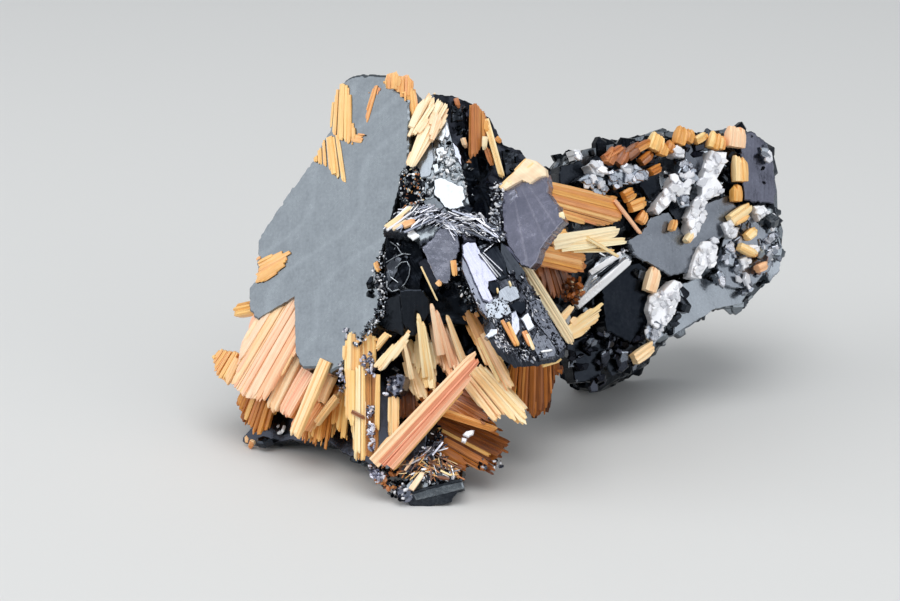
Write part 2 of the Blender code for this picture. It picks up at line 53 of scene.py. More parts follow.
# %% [markdown]
# ## From a pixel to a place
#
# All arrays below are in millimetres, and only the finished mesh is put into metres. A place on the
# cluster is written as the photograph shows it: a pixel, and how far it lies behind the plane of sharp
# focus. The eye looks down by 20 degrees from 156 mm away, and one pixel in the plane of focus is a
# sixteenth of a millimetre.

# %% Pixels and places
MM = 0.001
PIXEL = 1 / 16
EYE = 2500 * PIXEL
MIDDLE = (450, 300)
LOOK_DOWN = radians(20)
ORIGIN = np.array([3.7, 10.05, -12.2])
RIGHTWARDS = np.array([1.0, 0.0, 0.0])
UPWARDS = np.array([0.0, sin(LOOK_DOWN), cos(LOOK_DOWN)])
AWAY = np.array([0.0, cos(LOOK_DOWN), -sin(LOOK_DOWN)])


def spot(px, py, depth):
    """The place seen at a pixel: right and up of the middle by the pixel's size there, and away from the
    eye."""
    px, py, depth = np.broadcast_arrays(*(np.asarray(v, float) for v in (px, py, depth)))
    size = PIXEL * (1 + depth / EYE)
    right, up = (px - MIDDLE[0]) * size, (MIDDLE[1] - py) * size
    return right[..., None] * RIGHTWARDS + up[..., None] * UPWARDS + depth[..., None] * AWAY - ORIGIN


def seen(points):
    """The pixel at which a place is seen: the reverse of spot."""
    place = points + ORIGIN
    size = PIXEL * (1 + place @ AWAY / EYE)
    return MIDDLE[0] + place @ RIGHTWARDS / size, MIDDLE[1] - place @ UPWARDS / size


def unit(vectors):
    """Vectors divided by their lengths."""
    return vectors / np.linalg.norm(vectors, axis=-1, keepdims=True)


class Lean:
    """A flat layer through one spot, which gets deeper by right and by up for each millimetre that
    way."""

    def __init__(self, px, py, depth, right=0.0, up=0.0):
        self.slopes = (right, up)
        self.level = depth - self.rise(px, py) * (1 + depth / EYE)
        self.normal = unit(right * RIGHTWARDS + up * UPWARDS - AWAY)

    def rise(self, px, py):
        """How much deeper the layer is at a pixel than at the middle of the photograph, for pixels in
        focus."""
        right, up = self.slopes
        return (right * (px - MIDDLE[0]) + up * (MIDDLE[1] - py)) * PIXEL

    def depth(self, px, py, behind=0.0):
        """The depth at a pixel: level plus rise, divided by 1 minus the rise as a share of the eye's
        distance, because a pixel covers more of what is further away."""
        rise = self.rise(np.asarray(px, float), np.asarray(py, float))
        return (self.level + behind + rise) / (1 - rise / EYE)

    def spot(self, px, py, behind=0.0):
        """The place on the layer that is seen at a pixel, or that far behind it."""
        return spot(px, py, self.depth(px, py, behind))


FRONT = Lean(385, 335, 1.0, right=-0.69, up=0.255)
VIOLET = Lean(530, 220, 0.6, right=-0.3, up=0.1)
RIGHT = Lean(650, 230, 12.0, right=0.45, up=0.1)
DARK = Lean(470, 150, 5.2, right=0.25, up=0.1)
print("the main plate faces", FRONT.normal.round(2))

# %% [markdown]
# ## The camera and the light
#
# Hematite is a mirror, so it shows whatever stands around it. A large soft panel at the left fills the
# mirror of the main plate, a second one overhead picks out every facet that leans back, and the rest of
# the room stays dim, which keeps the other facets dark. The camera stands where the eye of the places
# above is.

# %% Camera and lights
LENS = 100
SENSOR = 36
MID_HEIGHT = 12
# Each panel has a name, the direction that it stands in, its distance and size in metres, and its
# radiance.
PANELS = (
    ("left_panel", (-0.906, -0.176, 0.43), 0.34, 0.34, 1.5),
    ("top_panel", (0.05, -0.29, 0.95), 0.36, 0.32, 2.6),
    ("right_panel", (0.75, -0.6, 0.3), 0.4, 0.26, 1.3),
)
ROOM_COLOR = (0.9, 0.95, 1.0, 1)
ROOM_RADIANCE = 0.42


def add_camera():
    """A camera at the eye, which looks down as the eye does."""
    data = bpy.data.cameras.new("camera")
    data.lens, data.sensor_width, data.clip_start = LENS, SENSOR, MM
    camera = bpy.data.objects.new("camera", data)
    camera.location = Vector((-ORIGIN - AWAY * EYE) * MM)
    camera.rotation_euler = (pi / 2 - LOOK_DOWN, 0, 0)
    bpy.context.scene.collection.objects.link(camera)
    bpy.context.scene.camera = camera


def add_panel(name, direction, distance, size, radiance):
    """A square light panel that faces the cluster. Its power is the radiance times pi times its area."""
    data = bpy.data.lights.new(name, "AREA")
    data.size = size
    data.energy = radiance * pi * size**2
    panel = bpy.data.objects.new(name, data)
    way = Vector(direction).normalized()
    panel.location = way * distance + Vector((0, 0, MID_HEIGHT * MM))
    panel.rotation_euler = way.to_track_quat("Z", "Y").to_euler()
    bpy.context.scene.collection.objects.link(panel)


def add_room():
    """An even, dim light from every side."""
    world = bpy.data.worlds.new("room")
    world.use_nodes = True
    world.node_tree.nodes["Background"].inputs["Color"].default_value = ROOM_COLOR
    world.node_tree.nodes["Background"].inputs["Strength"].default_value = ROOM_RADIANCE
    bpy.context.scene.world = world


add_camera()
for panel in PANELS:
    add_panel(*panel)
add_room()
bpy.context.scene.view_settings.view_transform = "Standard"

# %% [markdown]
# ## Writing a finish as arithmetic
#
# A finish is a sum of patterns, so it reads best as an expression. Wire wraps one output socket, and each
# operator on it adds a Math node. Finish owns the material, and its node method adds any other node.

# %% Shader arithmetic
class Wire:
    """One output socket of a finish. Arithmetic on it adds Math nodes."""

    def __init__(self, finish, socket):
        self.finish, self.socket = finish, socket

    def math(self, operation, first, second):
        """Adds the Math node that works out the operation on two values."""
        settings = {"operation": operation}
        return self.finish.node("ShaderNodeMath", settings, {0: first, 1: second})

    def __add__(self, other):
        return self.math("ADD", self, other)

    def __sub__(self, other):
        return self.math("SUBTRACT", self, other)

    def __rsub__(self, other):
        return self.math("SUBTRACT", other, self)

    def __mul__(self, other):
        return self.math("MULTIPLY", self, other)

    def above(self, other):
        """1 where this wire is greater than the other, and 0 elsewhere."""
        return self.math("GREATER_THAN", self, other)

    __radd__ = __add__
    __rmul__ = __mul__


class Finish:
    """A material in the making."""

    def __init__(self, name):
        self.material = bpy.data.materials.new(name)
        self.material.use_nodes = True
        self.tree = self.material.node_tree
        self.shader = self.tree.nodes["Principled BSDF"]

    def node(self, kind, settings=(), sockets=(), output=0):
        """Adds a node: its settings first, then its sockets, each a number, a colour or a Wire."""
        node = self.tree.nodes.new(kind)
        for key, value in dict(settings).items():
            if key == "stops":
                self.place_stops(node.color_ramp, value)
            else:
                setattr(node, key, value)
        for key, value in dict(sockets).items():
            self.plug(node.inputs[key], value)
        return Wire(self, node.outputs[output])

    def plug(self, socket, value):
        """Links a Wire to a socket, or sets the socket's own number or colour."""
        if isinstance(value, Wire):
            self.tree.links.new(value.socket, socket)
        else:
            socket.default_value = value

    def place_stops(self, ramp, stops):
        """Gives a ramp its stops, each a place from 0 to 1 and a colour."""
        while len(ramp.elements) < len(stops):
            ramp.elements.new(1.0)
        for element, (place, color) in zip(ramp.elements, stops):
            element.position = place
            element.color = (*color, 1)

    def mark(self, name, output="Fac"):
        """A value stored at the points of the mesh."""
        return self.node("ShaderNodeAttribute", {"attribute_name": name}, output=output)

    def ramp(self, value, stops):
        """The colour that a value has in a ramp."""
        return self.node("ShaderNodeValToRGB", {"stops": stops}, {"Fac": value})

    def blend(self, share, first, second):
        """The first colour where the share is 0, the second where it is 1, and a mix between."""
        sockets = {"Factor": share, 6: first, 7: second}
        return self.node("ShaderNodeMix", {"data_type": "RGBA"}, sockets, output=2)

    def stretch(self, vector, scale):
        """A vector whose three numbers are each multiplied by a scale of their own."""
        settings = {"operation": "MULTIPLY"}
        return self.node("ShaderNodeVectorMath", settings, {0: vector, 1: scale})

    def noise(self, vector, scale, detail=2.0):
        """Cloudy noise between 0 and 1, with scale times as many lumps, and finer the more detail it
        has."""
        return self.node("ShaderNodeTexNoise", (), {"Vector": vector, "Scale": scale, "Detail": detail})

    def bump(self, height, distance):
        """A normal tilted as if the surface stood out by height times distance."""
        return self.node("ShaderNodeBump", (), {"Height": height, "Distance": distance})

    def set(self, **sockets):
        """Plugs values into the shader's own sockets, named in small letters."""
        for name, value in sockets.items():
            self.plug(self.shader.inputs[name.replace("_", " ").title().replace("Ior", "IOR")], value)


print("a finish can", ", ".join(name for name in vars(Finish) if not name.startswith("_")))

# %% [markdown]
# ## The hematite finish
#
# Hematite ranges from black through steel to silver on one specimen, because each facet mirrors another
# part of the room. Each crystal therefore carries a tone, which paints that reflection into its colour,
# and a ramp turns it into metal: nearly black at 0, steel at a half and silver at 1. Fine striae run along
# each crystal, stretched from the grain vector, and a mottle breaks the mirror up. The brightest facets
# are painted highlights, and they are less metallic, so that they stay pale from every side.

# %% Hematite
STEEL = (
    (0.0, (0.005, 0.007, 0.011)), (0.25, (0.045, 0.052, 0.064)), (0.5, (0.29, 0.325, 0.355)),
    (0.75, (0.56, 0.58, 0.61)), (1.0, (0.93, 0.94, 0.96)),
)
LILAC = (
    (0.0, (0.012, 0.010, 0.016)), (0.25, (0.06, 0.06, 0.085)), (0.5, (0.25, 0.26, 0.36)),
    (0.75, (0.52, 0.51, 0.62)), (1.0, (0.92, 0.91, 0.96)),
)
# How often a pattern changes in a millimetre across a crystal, along it and from crystal to crystal.
STRIAE = (11.0, 0.7, 1.0)
# How many lumps other patterns have in a metre.
MOTTLES = 900.0
GRITS = 5200.0
METAL = 0.95
# A shade above this is a painted highlight, and is made less metallic.
BRIGHT = 0.8


def hematite_finish(name, tone=None, tint=0.0):
    """Metal whose tone, a painted reflection, comes from the crystal, or is one number on a solid of the
    frame. The shade is that tone plus small shares of striae, mottle and grit. It picks the colour from
    two ramps, which the tint mixes, and a bright shade is a painted highlight and less metallic. The grain
    vector is in millimetres, so the object's own metres are multiplied by 1000."""
    finish = Finish(name)
    place = finish.node("ShaderNodeTexCoord", output="Object")
    if tone is None:
        tone, tint, lines = finish.mark("tone"), finish.mark("tint"), finish.mark("lines")
        grain = finish.mark("grain", "Vector")
    else:
        grain, lines = finish.stretch(place, (1000, 1000, 1000)), 0.1
    striae = finish.noise(finish.stretch(grain, STRIAE), 1.0, 3.0)
    mottle = finish.noise(place, MOTTLES, 4.0)
    grit = finish.noise(place, GRITS, 3.0)
    shade = (striae - 0.5) * lines + (mottle - 0.5) * 0.08 + (grit - 0.5) * 0.08 + tone
    color = finish.blend(tint, finish.ramp(shade, STEEL), finish.ramp(shade, LILAC))
    rough = mottle * 0.2 + grit * 0.12 + 0.08
    finish.set(base_color=color, roughness=rough)
    finish.set(metallic=METAL - shade.above(BRIGHT) * 0.75)
    height = striae * lines * 3.0 + grit * 0.35 + mottle * 0.3
    finish.set(normal=finish.bump(height, 0.03 * MM))
    return finish.material


hematite = hematite_finish("hematite")
bare_hematite = hematite_finish("bare_hematite", tone=0.3)
print("hematite nodes:", len(hematite.node_tree.nodes))

# %% [markdown]
# ## The rutile finishes
#
# Rutile blades are golden where light passes a thin one, peach or cream where many lie together, and
# red-brown where they are thick. The ramp follows that order. Streaks run the whole length of a blade and
# differ from blade to blade, because the third number of the grain vector is drawn anew for each blade.

# %% Rutile
GOLD = (
    (0.0, (0.020, 0.006, 0.002)), (0.2, (0.15, 0.040, 0.007)), (0.4, (0.48, 0.15, 0.020)),
    (0.6, (0.82, 0.38, 0.075)), (0.8, (1.0, 0.66, 0.24)), (1.0, (1.0, 0.88, 0.56)),
)
PEACH = (
    (0.0, (0.030, 0.008, 0.004)), (0.2, (0.18, 0.045, 0.018)), (0.4, (0.56, 0.16, 0.06)),
    (0.6, (0.90, 0.34, 0.18)), (0.8, (1.0, 0.56, 0.34)), (1.0, (1.0, 0.82, 0.58)),
)
STREAKS = (7.0, 0.22, 1.0)
THREADS = (26.0, 0.5, 1.0)
BLOTCHES = 1100.0


def rutile_finish(name, ior=1.7):
    """A glassy blade. The shade is the blade's tone plus shares of its streaks, its fine threads and
    blotches. It picks the colour from two ramps, which the tint mixes, and the threads are ridges that
    catch the light."""
    finish = Finish(name)
    place = finish.node("ShaderNodeTexCoord", output="Object")
    grain = finish.mark("grain", "Vector")
    streaks = finish.noise(finish.stretch(grain, STREAKS), 1.0, 4.0)
    threads = finish.noise(finish.stretch(grain, THREADS), 1.0, 2.0)
    blotch = finish.noise(place, BLOTCHES, 3.0)
    shade = (streaks - 0.5) * 0.26 + (threads - 0.5) * 0.26 + (blotch - 0.5) * 0.10 + finish.mark("tone")
    color = finish.blend(finish.mark("tint"), finish.ramp(shade, GOLD), finish.ramp(shade, PEACH))
    finish.set(base_color=color, roughness=threads * 0.3 + 0.2, ior=ior)
    finish.set(normal=finish.bump(threads * 0.6 + streaks, 0.025 * MM))
    return finish.material


rutile = rutile_finish("rutile")
brown_rutile = rutile_finish("brown_rutile", ior=1.4)
FINISHES = {"hematite": hematite, "rutile": rutile, "brown_rutile": brown_rutile}
print("rutile nodes:", len(rutile.node_tree.nodes))

# %% [markdown]
# ## The floor
#
# The cluster stands on a plain pale floor, which is no part of it. One large square is enough, because
# its far edge lies out of sight.

# %% Floor
def add_floor(half=1.0):
    """A square at height 0 that reaches half its width each way. It isn't attached to the cluster, so it is
    no part of the object."""
    data = bpy.data.meshes.new("floor")
    corners = [(-half, -half, 0), (half, -half, 0), (half, half, 0), (-half, half, 0)]
    data.from_pydata(corners, [], [(0, 1, 2, 3)])
    floor = bpy.data.objects.new("floor", data)
    finish = Finish("floor")
    finish.set(base_color=(0.7, 0.7, 0.69, 1), roughness=0.8)
    data.materials.append(finish.material)
    bpy.context.scene.collection.objects.link(floor)
    print("the floor is", 2 * half, "m wide")


add_floor()

# %% [markdown]
# ## Rings of points
#
# Every crystal here is a stack of rings, each with the same number of corners: a blade is a section
# carried from root to tip, a tablet is a ring carried along its axis, and a plate is its outline,
# shrinking to the middle on the front, running down the wall and shrinking again on the back. One array
# of shape crystals x rings x corners x 3 holds hundreds of them, and the faces follow from the order of
# the numbers alone.

# %% Heap
TONE, TINT, LINES = 3, 4, 5
# Each mark has its name, its kind, the field that holds it, and its columns in the array of marks.
MARKS = (
    ("grain", "FLOAT_VECTOR", "vector", slice(0, 3)), ("tone", "FLOAT", "value", TONE),
    ("tint", "FLOAT", "value", TINT), ("lines", "FLOAT", "value", LINES),
)


class Heap:
    """The crystals of one piece: their points in millimetres, their faces, and the marks that the
    finishes read."""

    def __init__(self):
        self.points, self.faces, self.marks, self.total = [], [], [], 0

    def add(self, rings, grain, tone, tint=0.0, lines=0.1):
        """Neighbouring rings are joined by four-sided walls, and the first and last ring of a crystal are
        closed."""
        count, levels, sides, _ = rings.shape
        index = self.total + np.arange(count * levels * sides).reshape(count, levels, sides)
        turned = np.roll(index, -1, axis=2)
        walls = np.stack([index[:, :-1], turned[:, :-1], turned[:, 1:], index[:, 1:]], axis=-1)
        self.faces += [walls.reshape(-1, 4), index[:, 0, ::-1], index[:, -1]]
        self.points.append(rings.reshape(-1, 3))
        self.total += index.size
        marks = np.empty((count, levels, sides, 6))
        marks[..., :3] = grain
        for column, value in ((TONE, tone), (TINT, tint), (LINES, lines)):
            value = np.asarray(value, float)
            marks[..., column] = value.reshape(value.shape + (1,) * (3 - value.ndim))
        self.marks.append(marks.reshape(-1, 6))

    def paint(self, outline, tone, tint):
        """Paints a reflection onto a surface: gives every point seen inside an outline of pixels a new tone
        and tint.
        """
        for points, marks in zip(self.points, self.marks):
            hit = inside(*seen(points), outline)
            marks[hit, TONE] = tone
            marks[hit, TINT] = tint


def inside(px, py, outline):
    """True where a pixel lies inside the outline: a ray to the right crosses it an odd number of
    times."""
    odd = np.zeros(np.shape(px), bool)
    for (x0, y0), (x1, y1) in zip(outline, outline[1:] + outline[:1]):
        crosses = (y0 > py) != (y1 > py)
        odd ^= crosses & (px < (x1 - x0) * (py - y0) / (y1 - y0 + 1e-9) + x0)
    return odd


def piece(name, heap, slot, nodes=(), smooth=None):
    """Makes the heap one object that rides on the cluster and takes the place of the nodes. No point goes
    below the floor. Edges sharper than smooth, in degrees, stay sharp, and without it every face is
    flat."""
    mesh = bpy.data.meshes.new(name)
    points = np.concatenate(heap.points) * MM
    points[:, 2] = np.maximum(points[:, 2], 0)
    sizes = np.concatenate([np.full(len(faces), faces.shape[1]) for faces in heap.faces])
    mesh.vertices.add(len(points))
    mesh.vertices.foreach_set("co", points.astype(np.float32).ravel())
    mesh.loops.add(int(sizes.sum()))
    corners = np.concatenate([faces.ravel() for faces in heap.faces])
    mesh.loops.foreach_set("vertex_index", corners.astype(np.int32))
    mesh.polygons.add(len(sizes))
    mesh.polygons.foreach_set("loop_start", (np.cumsum(sizes) - sizes).astype(np.int32))
    mesh.update(calc_edges=True)
    marks = np.concatenate(heap.marks).astype(np.float32)
    for label, kind, field, columns in MARKS:
        mesh.attributes.new(label, kind, "POINT").data.foreach_set(field, marks[:, columns].ravel())
    if smooth is None:
        mesh.shade_flat()
    else:
        mesh.shade_smooth()
        mesh.set_sharp_from_angle(angle=radians(smooth))
    mesh.materials.append(FINISHES[slot])
    obj = bpy.data.objects.new(name, mesh)
    bpy.context.scene.collection.objects.link(obj)
    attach(obj, "root")
    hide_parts(*nodes)
    print(f"{name}: {int((sizes - 2).sum())} triangles")


print("marks at each point:", ", ".join(name for name, *_ in MARKS))

# %% [markdown]
# ## Blades
#
# A rutile blade is long, flat and striated, and ends in a slanted chisel. All blades of a sheaf are made
# at once. Each has an eight-sided section whose corners are shifted a little, the same way along its
# whole length, so it gets flat strips that catch the light differently.

# %% Blades
SECTION = np.array(
    [(1, 0), (0.93, 0.8), (0.3, 1.0), (-0.25, 0.92), (-0.93, 0.85), (-1, 0), (-0.8, -1), (0.8, -1)]
)
ALONG_BLADE = np.array([0.0, 0.3, 0.65, 1.0, 1.0])
WIDTH_ALONG = np.array([0.85, 1.0, 1.0, 0.97, 0.0])
LEAN_ALONG = np.array([0, 0, 0, 0.6, 1.0])
CORNER_SHIFT = (0.02, 0.1)
LONGEST_CHISEL = 0.3
BLUNT = (0.1, 0.85)
FAR_APART = 90


def blades(heap, roots, tips, width, thick, facing, tone, tint=0.0, slant=0.5, point=1.0):
    """Blades from roots to tips. Ring by ring the section moves along and keeps its corners' own shifts.
    The last two rings are a chisel, point widths long and of a drawn bluntness, whose end leans by slant.
    Each blade's grain is its own place across and along plus a seed, far apart from the others."""
    count = len(roots)
    width, thick, slant, point = (np.broadcast_to(v, count)[:, None] for v in (width, thick, slant, point))
    length = np.linalg.norm(tips - roots, axis=-1)[:, None]
    along = unit(tips - roots)
    side = unit(np.cross(np.broadcast_to(facing, along.shape), along))
    out = np.cross(along, side)
    shares = np.tile(ALONG_BLADE, (count, 1))
    shares[:, 3:4] = 1 - np.minimum(LONGEST_CHISEL, point * width / length)
    shape = SECTION + draw.normal(0, CORNER_SHIFT, (count, 1, len(SECTION), 2))
    narrow = np.tile(WIDTH_ALONG, (count, 1))
    narrow[:, 4] = draw.uniform(*BLUNT, count)
    shape = shape * narrow[..., None, None]
    across = shape[..., 0] * width[:, :, None] / 2
    through = shape[..., 1] * thick[:, :, None] / 2
    lean = LEAN_ALONG[None, :, None] * slant[:, :, None] * across
    reach = (shares * length)[:, :, None] + lean
    rings = roots[:, None, None] + reach[..., None] * along[:, None, None]
    rings = rings + across[..., None] * side[:, None, None] + through[..., None] * out[:, None, None]
    seed = draw.uniform(0, FAR_APART, (count, 1, 1))
    grain = np.stack(np.broadcast_arrays(across + seed, reach + seed, seed * 7), axis=-1)
    heap.add(rings, grain, tone, tint)


print("a blade has", len(SECTION), "sides and", len(ALONG_BLADE), "rings")

# %% [markdown]
# ## Sheaves
#
# In nature blades grow side by side from one edge of the hematite and spread a little. A sheaf could be
# grown blade by blade, but the photograph gives its outline, so it is filled instead: straight lines from
# a focus far behind the roots are cut off where they enter and leave the outline. Neighbours are drawn in
# groups of three, so that the tips end in steps.

# %% Sheaves
def turning(first, second):
    """How far the second pixel vector turns from the first: their cross product."""
    return first[..., 0] * second[..., 1] - first[..., 1] * second[..., 0]


GROUP = 3
STEP_SHARE = 0.65
WIDTH_SPREAD = 0.45


class Fan:
    """Straight lines from a focus that together cover an outline of pixels."""

    def __init__(self, outline, focus):
        self.corners, self.focus = np.array(outline, float), np.array(focus, float)
        self.place = self.corners - self.focus
        self.middle = self.place.mean(0)
        turns = np.arctan2(turning(self.middle, self.place), self.place @ self.middle)
        self.first, self.angle = turns.min() + np.arctan2(self.middle[1], self.middle[0]), np.ptp(turns)
        self.span = self.angle * np.hypot(*self.middle) * PIXEL

    def lines(self, share):
        """Where the line at each share of the angle enters the outline and where it leaves it."""
        turn = self.first + self.angle * share
        way = np.stack([np.cos(turn), np.sin(turn)], axis=-1)[:, None]
        edges = np.roll(self.corners, -1, axis=0) - self.corners
        meets = turning(way, edges)
        along, where = turning(self.place, edges) / meets, turning(self.place, way) / meets
        hit = (where >= 0) & (where <= 1)
        enters = np.where(hit, along, np.inf).min(1)
        leaves = np.where(hit, along, -np.inf).max(1)
        return self.focus + way[:, 0] * enters[:, None], self.focus + way[:, 0] * leaves[:, None]


def sheaf(heap, outline, focus, lean, width, deep, tone, tint=0.0, ragged=0.12, layers=3, cover=1.7,
          wild=0.05, behind=0.0, hue=0.15, calm=0.1):
    """Blades that fill an outline of pixels and run away from a focus, in layers down to deep. Neighbours
    end in groups and share a shade, as broken steps do, and each deeper layer ends a little sooner. Tips
    end up to ragged of their length too early, tones differ by wild and tints by hue, and the smaller
    calm is, the more evenly they face."""
    fan = Fan(outline, focus)
    count = max(4, int(cover * fan.span / width))
    for layer in range(layers):
        share = (np.arange(count) + draw.uniform(0.05, 0.95, count)) / count
        starts, stops = fan.lines(share)
        groups = draw.uniform(0, 1, count // GROUP + 2)[(share * (count // GROUP)).astype(int)]
        cut = ragged * (STEP_SHARE * groups + (1 - STEP_SHARE) * draw.uniform(0, 1, count)) + 0.01 * layer
        stops = starts + (stops - starts) * (1 - cut)[:, None]
        starts = starts - (stops - starts) * draw.uniform(0, 0.04, count)[:, None]
        level = behind + (layer + draw.uniform(0.0, 0.3, count)) / layers * deep
        roots = lean.spot(*starts.T, level)
        tips = lean.spot(*stops.T, level + draw.normal(0, 0.04, count))
        wide = width * draw.lognormal(0, WIDTH_SPREAD, count)
        thick = np.minimum(wide * 0.7, 0.6 * deep / layers)
        facing = lean.normal + draw.normal(0, calm, (count, 3))
        bands = wild * 1.3 * (2 * groups - 1) + draw.normal(0, wild * 0.7, count)
        tones = pick(tone, count) if isinstance(tone, tuple) else tone + bands
        tints = np.clip(tint + draw.normal(0, hue, count), 0, 1)
        blades(heap, roots, tips, wide, thick, facing, tones, tints, draw.uniform(-0.9, 0.9, count))


def one_blade(heap, root, tip, width, thick, tone, tint=0.0, strands=3, tip_width=0.6, facing=-AWAY):
    """One stout blade from spot to spot, laid up from a few strands of unequal length."""
    root, tip = np.array(spot(*root)), np.array(spot(*tip))
    side = unit(np.cross(facing, tip - root))
    across = (np.arange(strands) + 0.5) / strands - 0.5
    starts = root + side * (across * width)[:, None]
    missing = (tip - root) * draw.uniform(0, 0.07, (strands, 1))
    stops = tip + side * (across * width * tip_width)[:, None] - missing
    tones = tone + draw.normal(0, 0.05, strands)
    wide = width / strands * draw.uniform(1.15, 1.5, strands)
    blades(heap, starts, stops, wide, thick * draw.uniform(0.8, 1.1, strands), facing, tones, tint, 0.5)


def lath(heap, lean, root, tip, behind, width, thick, tone, tint=0.0, strands=1, tip_width=0.9):
    """A blade between two pixels that lies flat on a lean, so that it can't float off the face that
    carries it."""
    ends = [(*end, float(lean.depth(*end, behind))) for end in (root, tip)]
    one_blade(heap, *ends, width, thick, tone, tint, strands, tip_width, lean.normal)


print("blades that end together:", GROUP)

# %% [markdown]
# ## Plates
#
# A hematite plate is flat enough to mirror a lamp, yet never quite flat: it has low swells and faint
# steps. Its rim is chipped in small straight pieces. The rings of the plate are its outline at shares of
# its size: 0 is the middle of the front, 1 the rim.

# %% Plates
def ripples(longest, shortest, waves=7):
    """Smooth swells, as a function of the pixel: a sum of sine waves of random directions, each as high as
    its length is a share of the longest."""
    lengths = np.geomspace(longest, shortest, waves)
    turns, starts = draw.uniform(0, 2 * pi, (2, waves))

    def height(px, py):
        """The sum of the waves at a pixel, halved."""
        total = 0.0
        for length, turn, start in zip(lengths, turns, starts):
            along = px * cos(turn) + py * sin(turn)
            total = total + np.sin(along * 2 * pi / length + start) * length / longest
        return total / 2

    return height


def walk(outline, step):
    """Points along an outline no further apart than step pixels, with its corners kept."""
    corners = np.array(outline, float)
    if turning(corners, np.roll(corners, -1, axis=0)).sum() < 0:
        corners = corners[::-1]
    parts = []
    for start, end in zip(corners, np.roll(corners, -1, axis=0)):
        pieces = max(1, round(float(np.hypot(*(end - start))) / step))
        parts.append(start + (end - start) * np.arange(pieces)[:, None] / pieces)
    return np.concatenate(parts)


CHIP_RUN = 4


def slab(
    heap, outline, lean, deep, tone, tint=0.0, behind=0.0, step=3.0, rings=10, swell=0.01, swells=(160, 25),
    chip=0.8, centre=None, bevel=0.06, lines=0.06, turn=0.0, taper=1.0,
):
    """A plate on a lean. On the front its outline grows ring by ring from the centre, the wall goes down
    along the normal, and the back shrinks to its centre. Both faces swell by the ripples, and the rim is
    chipped in runs of 4 pixels. Its striae are as strong as lines, and turned from upright by turn. The
    wall narrows to taper."""
    rim = walk(outline, step)
    centre = np.array(centre if centre is not None else rim.mean(0), float)
    run = max(1, round(CHIP_RUN / step))
    chips = np.repeat(draw.uniform(-chip, chip, len(rim) // run + 1), run)[: len(rim)]
    rim = rim + unit(rim - centre) * chips[:, None]
    size = float(np.mean(np.linalg.norm(rim - centre, axis=1))) * PIXEL
    edge = min(0.4, bevel / size)
    front = np.linspace(0.02, 1 - edge, rings)
    wall = np.linspace(1, taper, 4) + [0, 0.01, -0.01, 0]
    shares = np.concatenate([front, wall, taper * front[::-1]])
    drops = np.concatenate([front * 0, [bevel, deep / 3, deep * 2 / 3, deep - bevel], front * 0 + deep])
    lies = centre + shares[:, None, None] * (rim - centre)
    px, py = lies[..., 0], lies[..., 1]
    height = ripples(*swells)(px, py) * swell - drops[:, None]
    points = lean.spot(px, py, behind) + height[..., None] * lean.normal
    seed = draw.uniform(0, FAR_APART)
    across, along = px * cos(turn) - py * sin(turn), px * sin(turn) + py * cos(turn)
    grain = np.stack([across * PIXEL + seed, along * PIXEL, height + seed], axis=-1)
    tones = tone(px, py) if callable(tone) else tone
    heap.add(points[None], grain[None], np.broadcast_to(tones, px.shape)[None], tint, lines)


SQUARE = ((0, 0), (16, 0), (16, 16), (0, 16))
print("points round a square of 16 pixels, 2 apart:", len(walk(SQUARE, 2)))

# %% [markdown]
# ## Tablets and their tones
#
# Much of the hematite is a crust of tiny tablets, turned every way. Each mirrors another part of the
# room, so the crust sparkles in black and white, and the tones paint that reflection into the tablets'
# colour. A mix lists its tones and how large a share of the tablets has each.

# %% Tablets
SPARKLE = ((0.04, 0.34), (0.28, 0.30), (0.55, 0.18), (0.92, 0.18))
# Black tones, used for painted shade on the left and under the far group.
BLACK = ((0.02, 0.65), (0.14, 0.25), (0.35, 0.1))
DIM = ((0.02, 0.5), (0.2, 0.3), (0.4, 0.15), (0.8, 0.05))
SILVERY = ((0.1, 0.12), (0.5, 0.28), (0.8, 0.25), (1.0, 0.35))
BLOCKS = ((0.18, 0.3), (0.34, 0.4), (0.44, 0.3))
FLAKES = ((0.03, 0.24), (0.3, 0.2), (0.55, 0.3), (0.95, 0.26))
TABLET_HEIGHTS = np.array([-0.5, -0.3, 0.3, 0.5])
TABLET_WIDTHS = np.array([0.72, 1.0, 1.0, 0.78])


def tablets(heap, centres, axes, radius, thick, tone, tint=0.0, sides=6, stretch=1.3, along=None):
    """Tablets: a ring of unevenly spread corners is carried along the axis, and is narrower at both ends.
    They are longer one way by stretch squared, which is any way, or near the way along."""
    count = len(centres)
    radius, thick = (np.broadcast_to(v, count)[:, None, None] for v in (radius, thick))
    axes = unit(axes)
    way = draw.normal(size=(count, 3)) * (1.0 if along is None else 0.3)
    out = unit(np.cross(axes, way if along is None else way + along))
    side = np.cross(out, axes)
    turn = (np.arange(sides) + draw.uniform(-0.25, 0.25, (count, sides)))[:, None] * 2 * pi / sides
    reach = draw.uniform(0.75, 1.1, (count, 1, sides)) * radius
    heights = TABLET_HEIGHTS[None, :, None] * thick
    narrow = TABLET_WIDTHS[None, :, None]
    a = np.cos(turn) * reach * narrow * stretch
    b = np.sin(turn) * reach * narrow / stretch
    rings = centres[:, None, None] + a[..., None] * side[:, None, None]
    rings = rings + b[..., None] * out[:, None, None] + heights[..., None] * axes[:, None, None]
    seed = draw.uniform(0, FAR_APART, (count, 1, 1))
    grain = np.stack(np.broadcast_arrays(a + seed, b + seed, heights + seed), axis=-1)
    heap.add(rings, grain, tone, tint)


def pick(mix, count):
    """Tones drawn from a mix of (tone, share) pairs, each shifted a little."""
    tones, shares = np.array(mix).T
    return draw.choice(tones, count, p=shares / shares.sum()) + draw.normal(0, 0.05, count)


def scatter(outline, count):
    """Random pixels inside an outline: too many are drawn in its box, and those outside are dropped."""
    corners = np.array(outline, float)
    tries = draw.uniform(corners.min(0), corners.max(0), (count * 12, 2))
    return tries[inside(tries[:, 0], tries[:, 1], outline)][:count].T


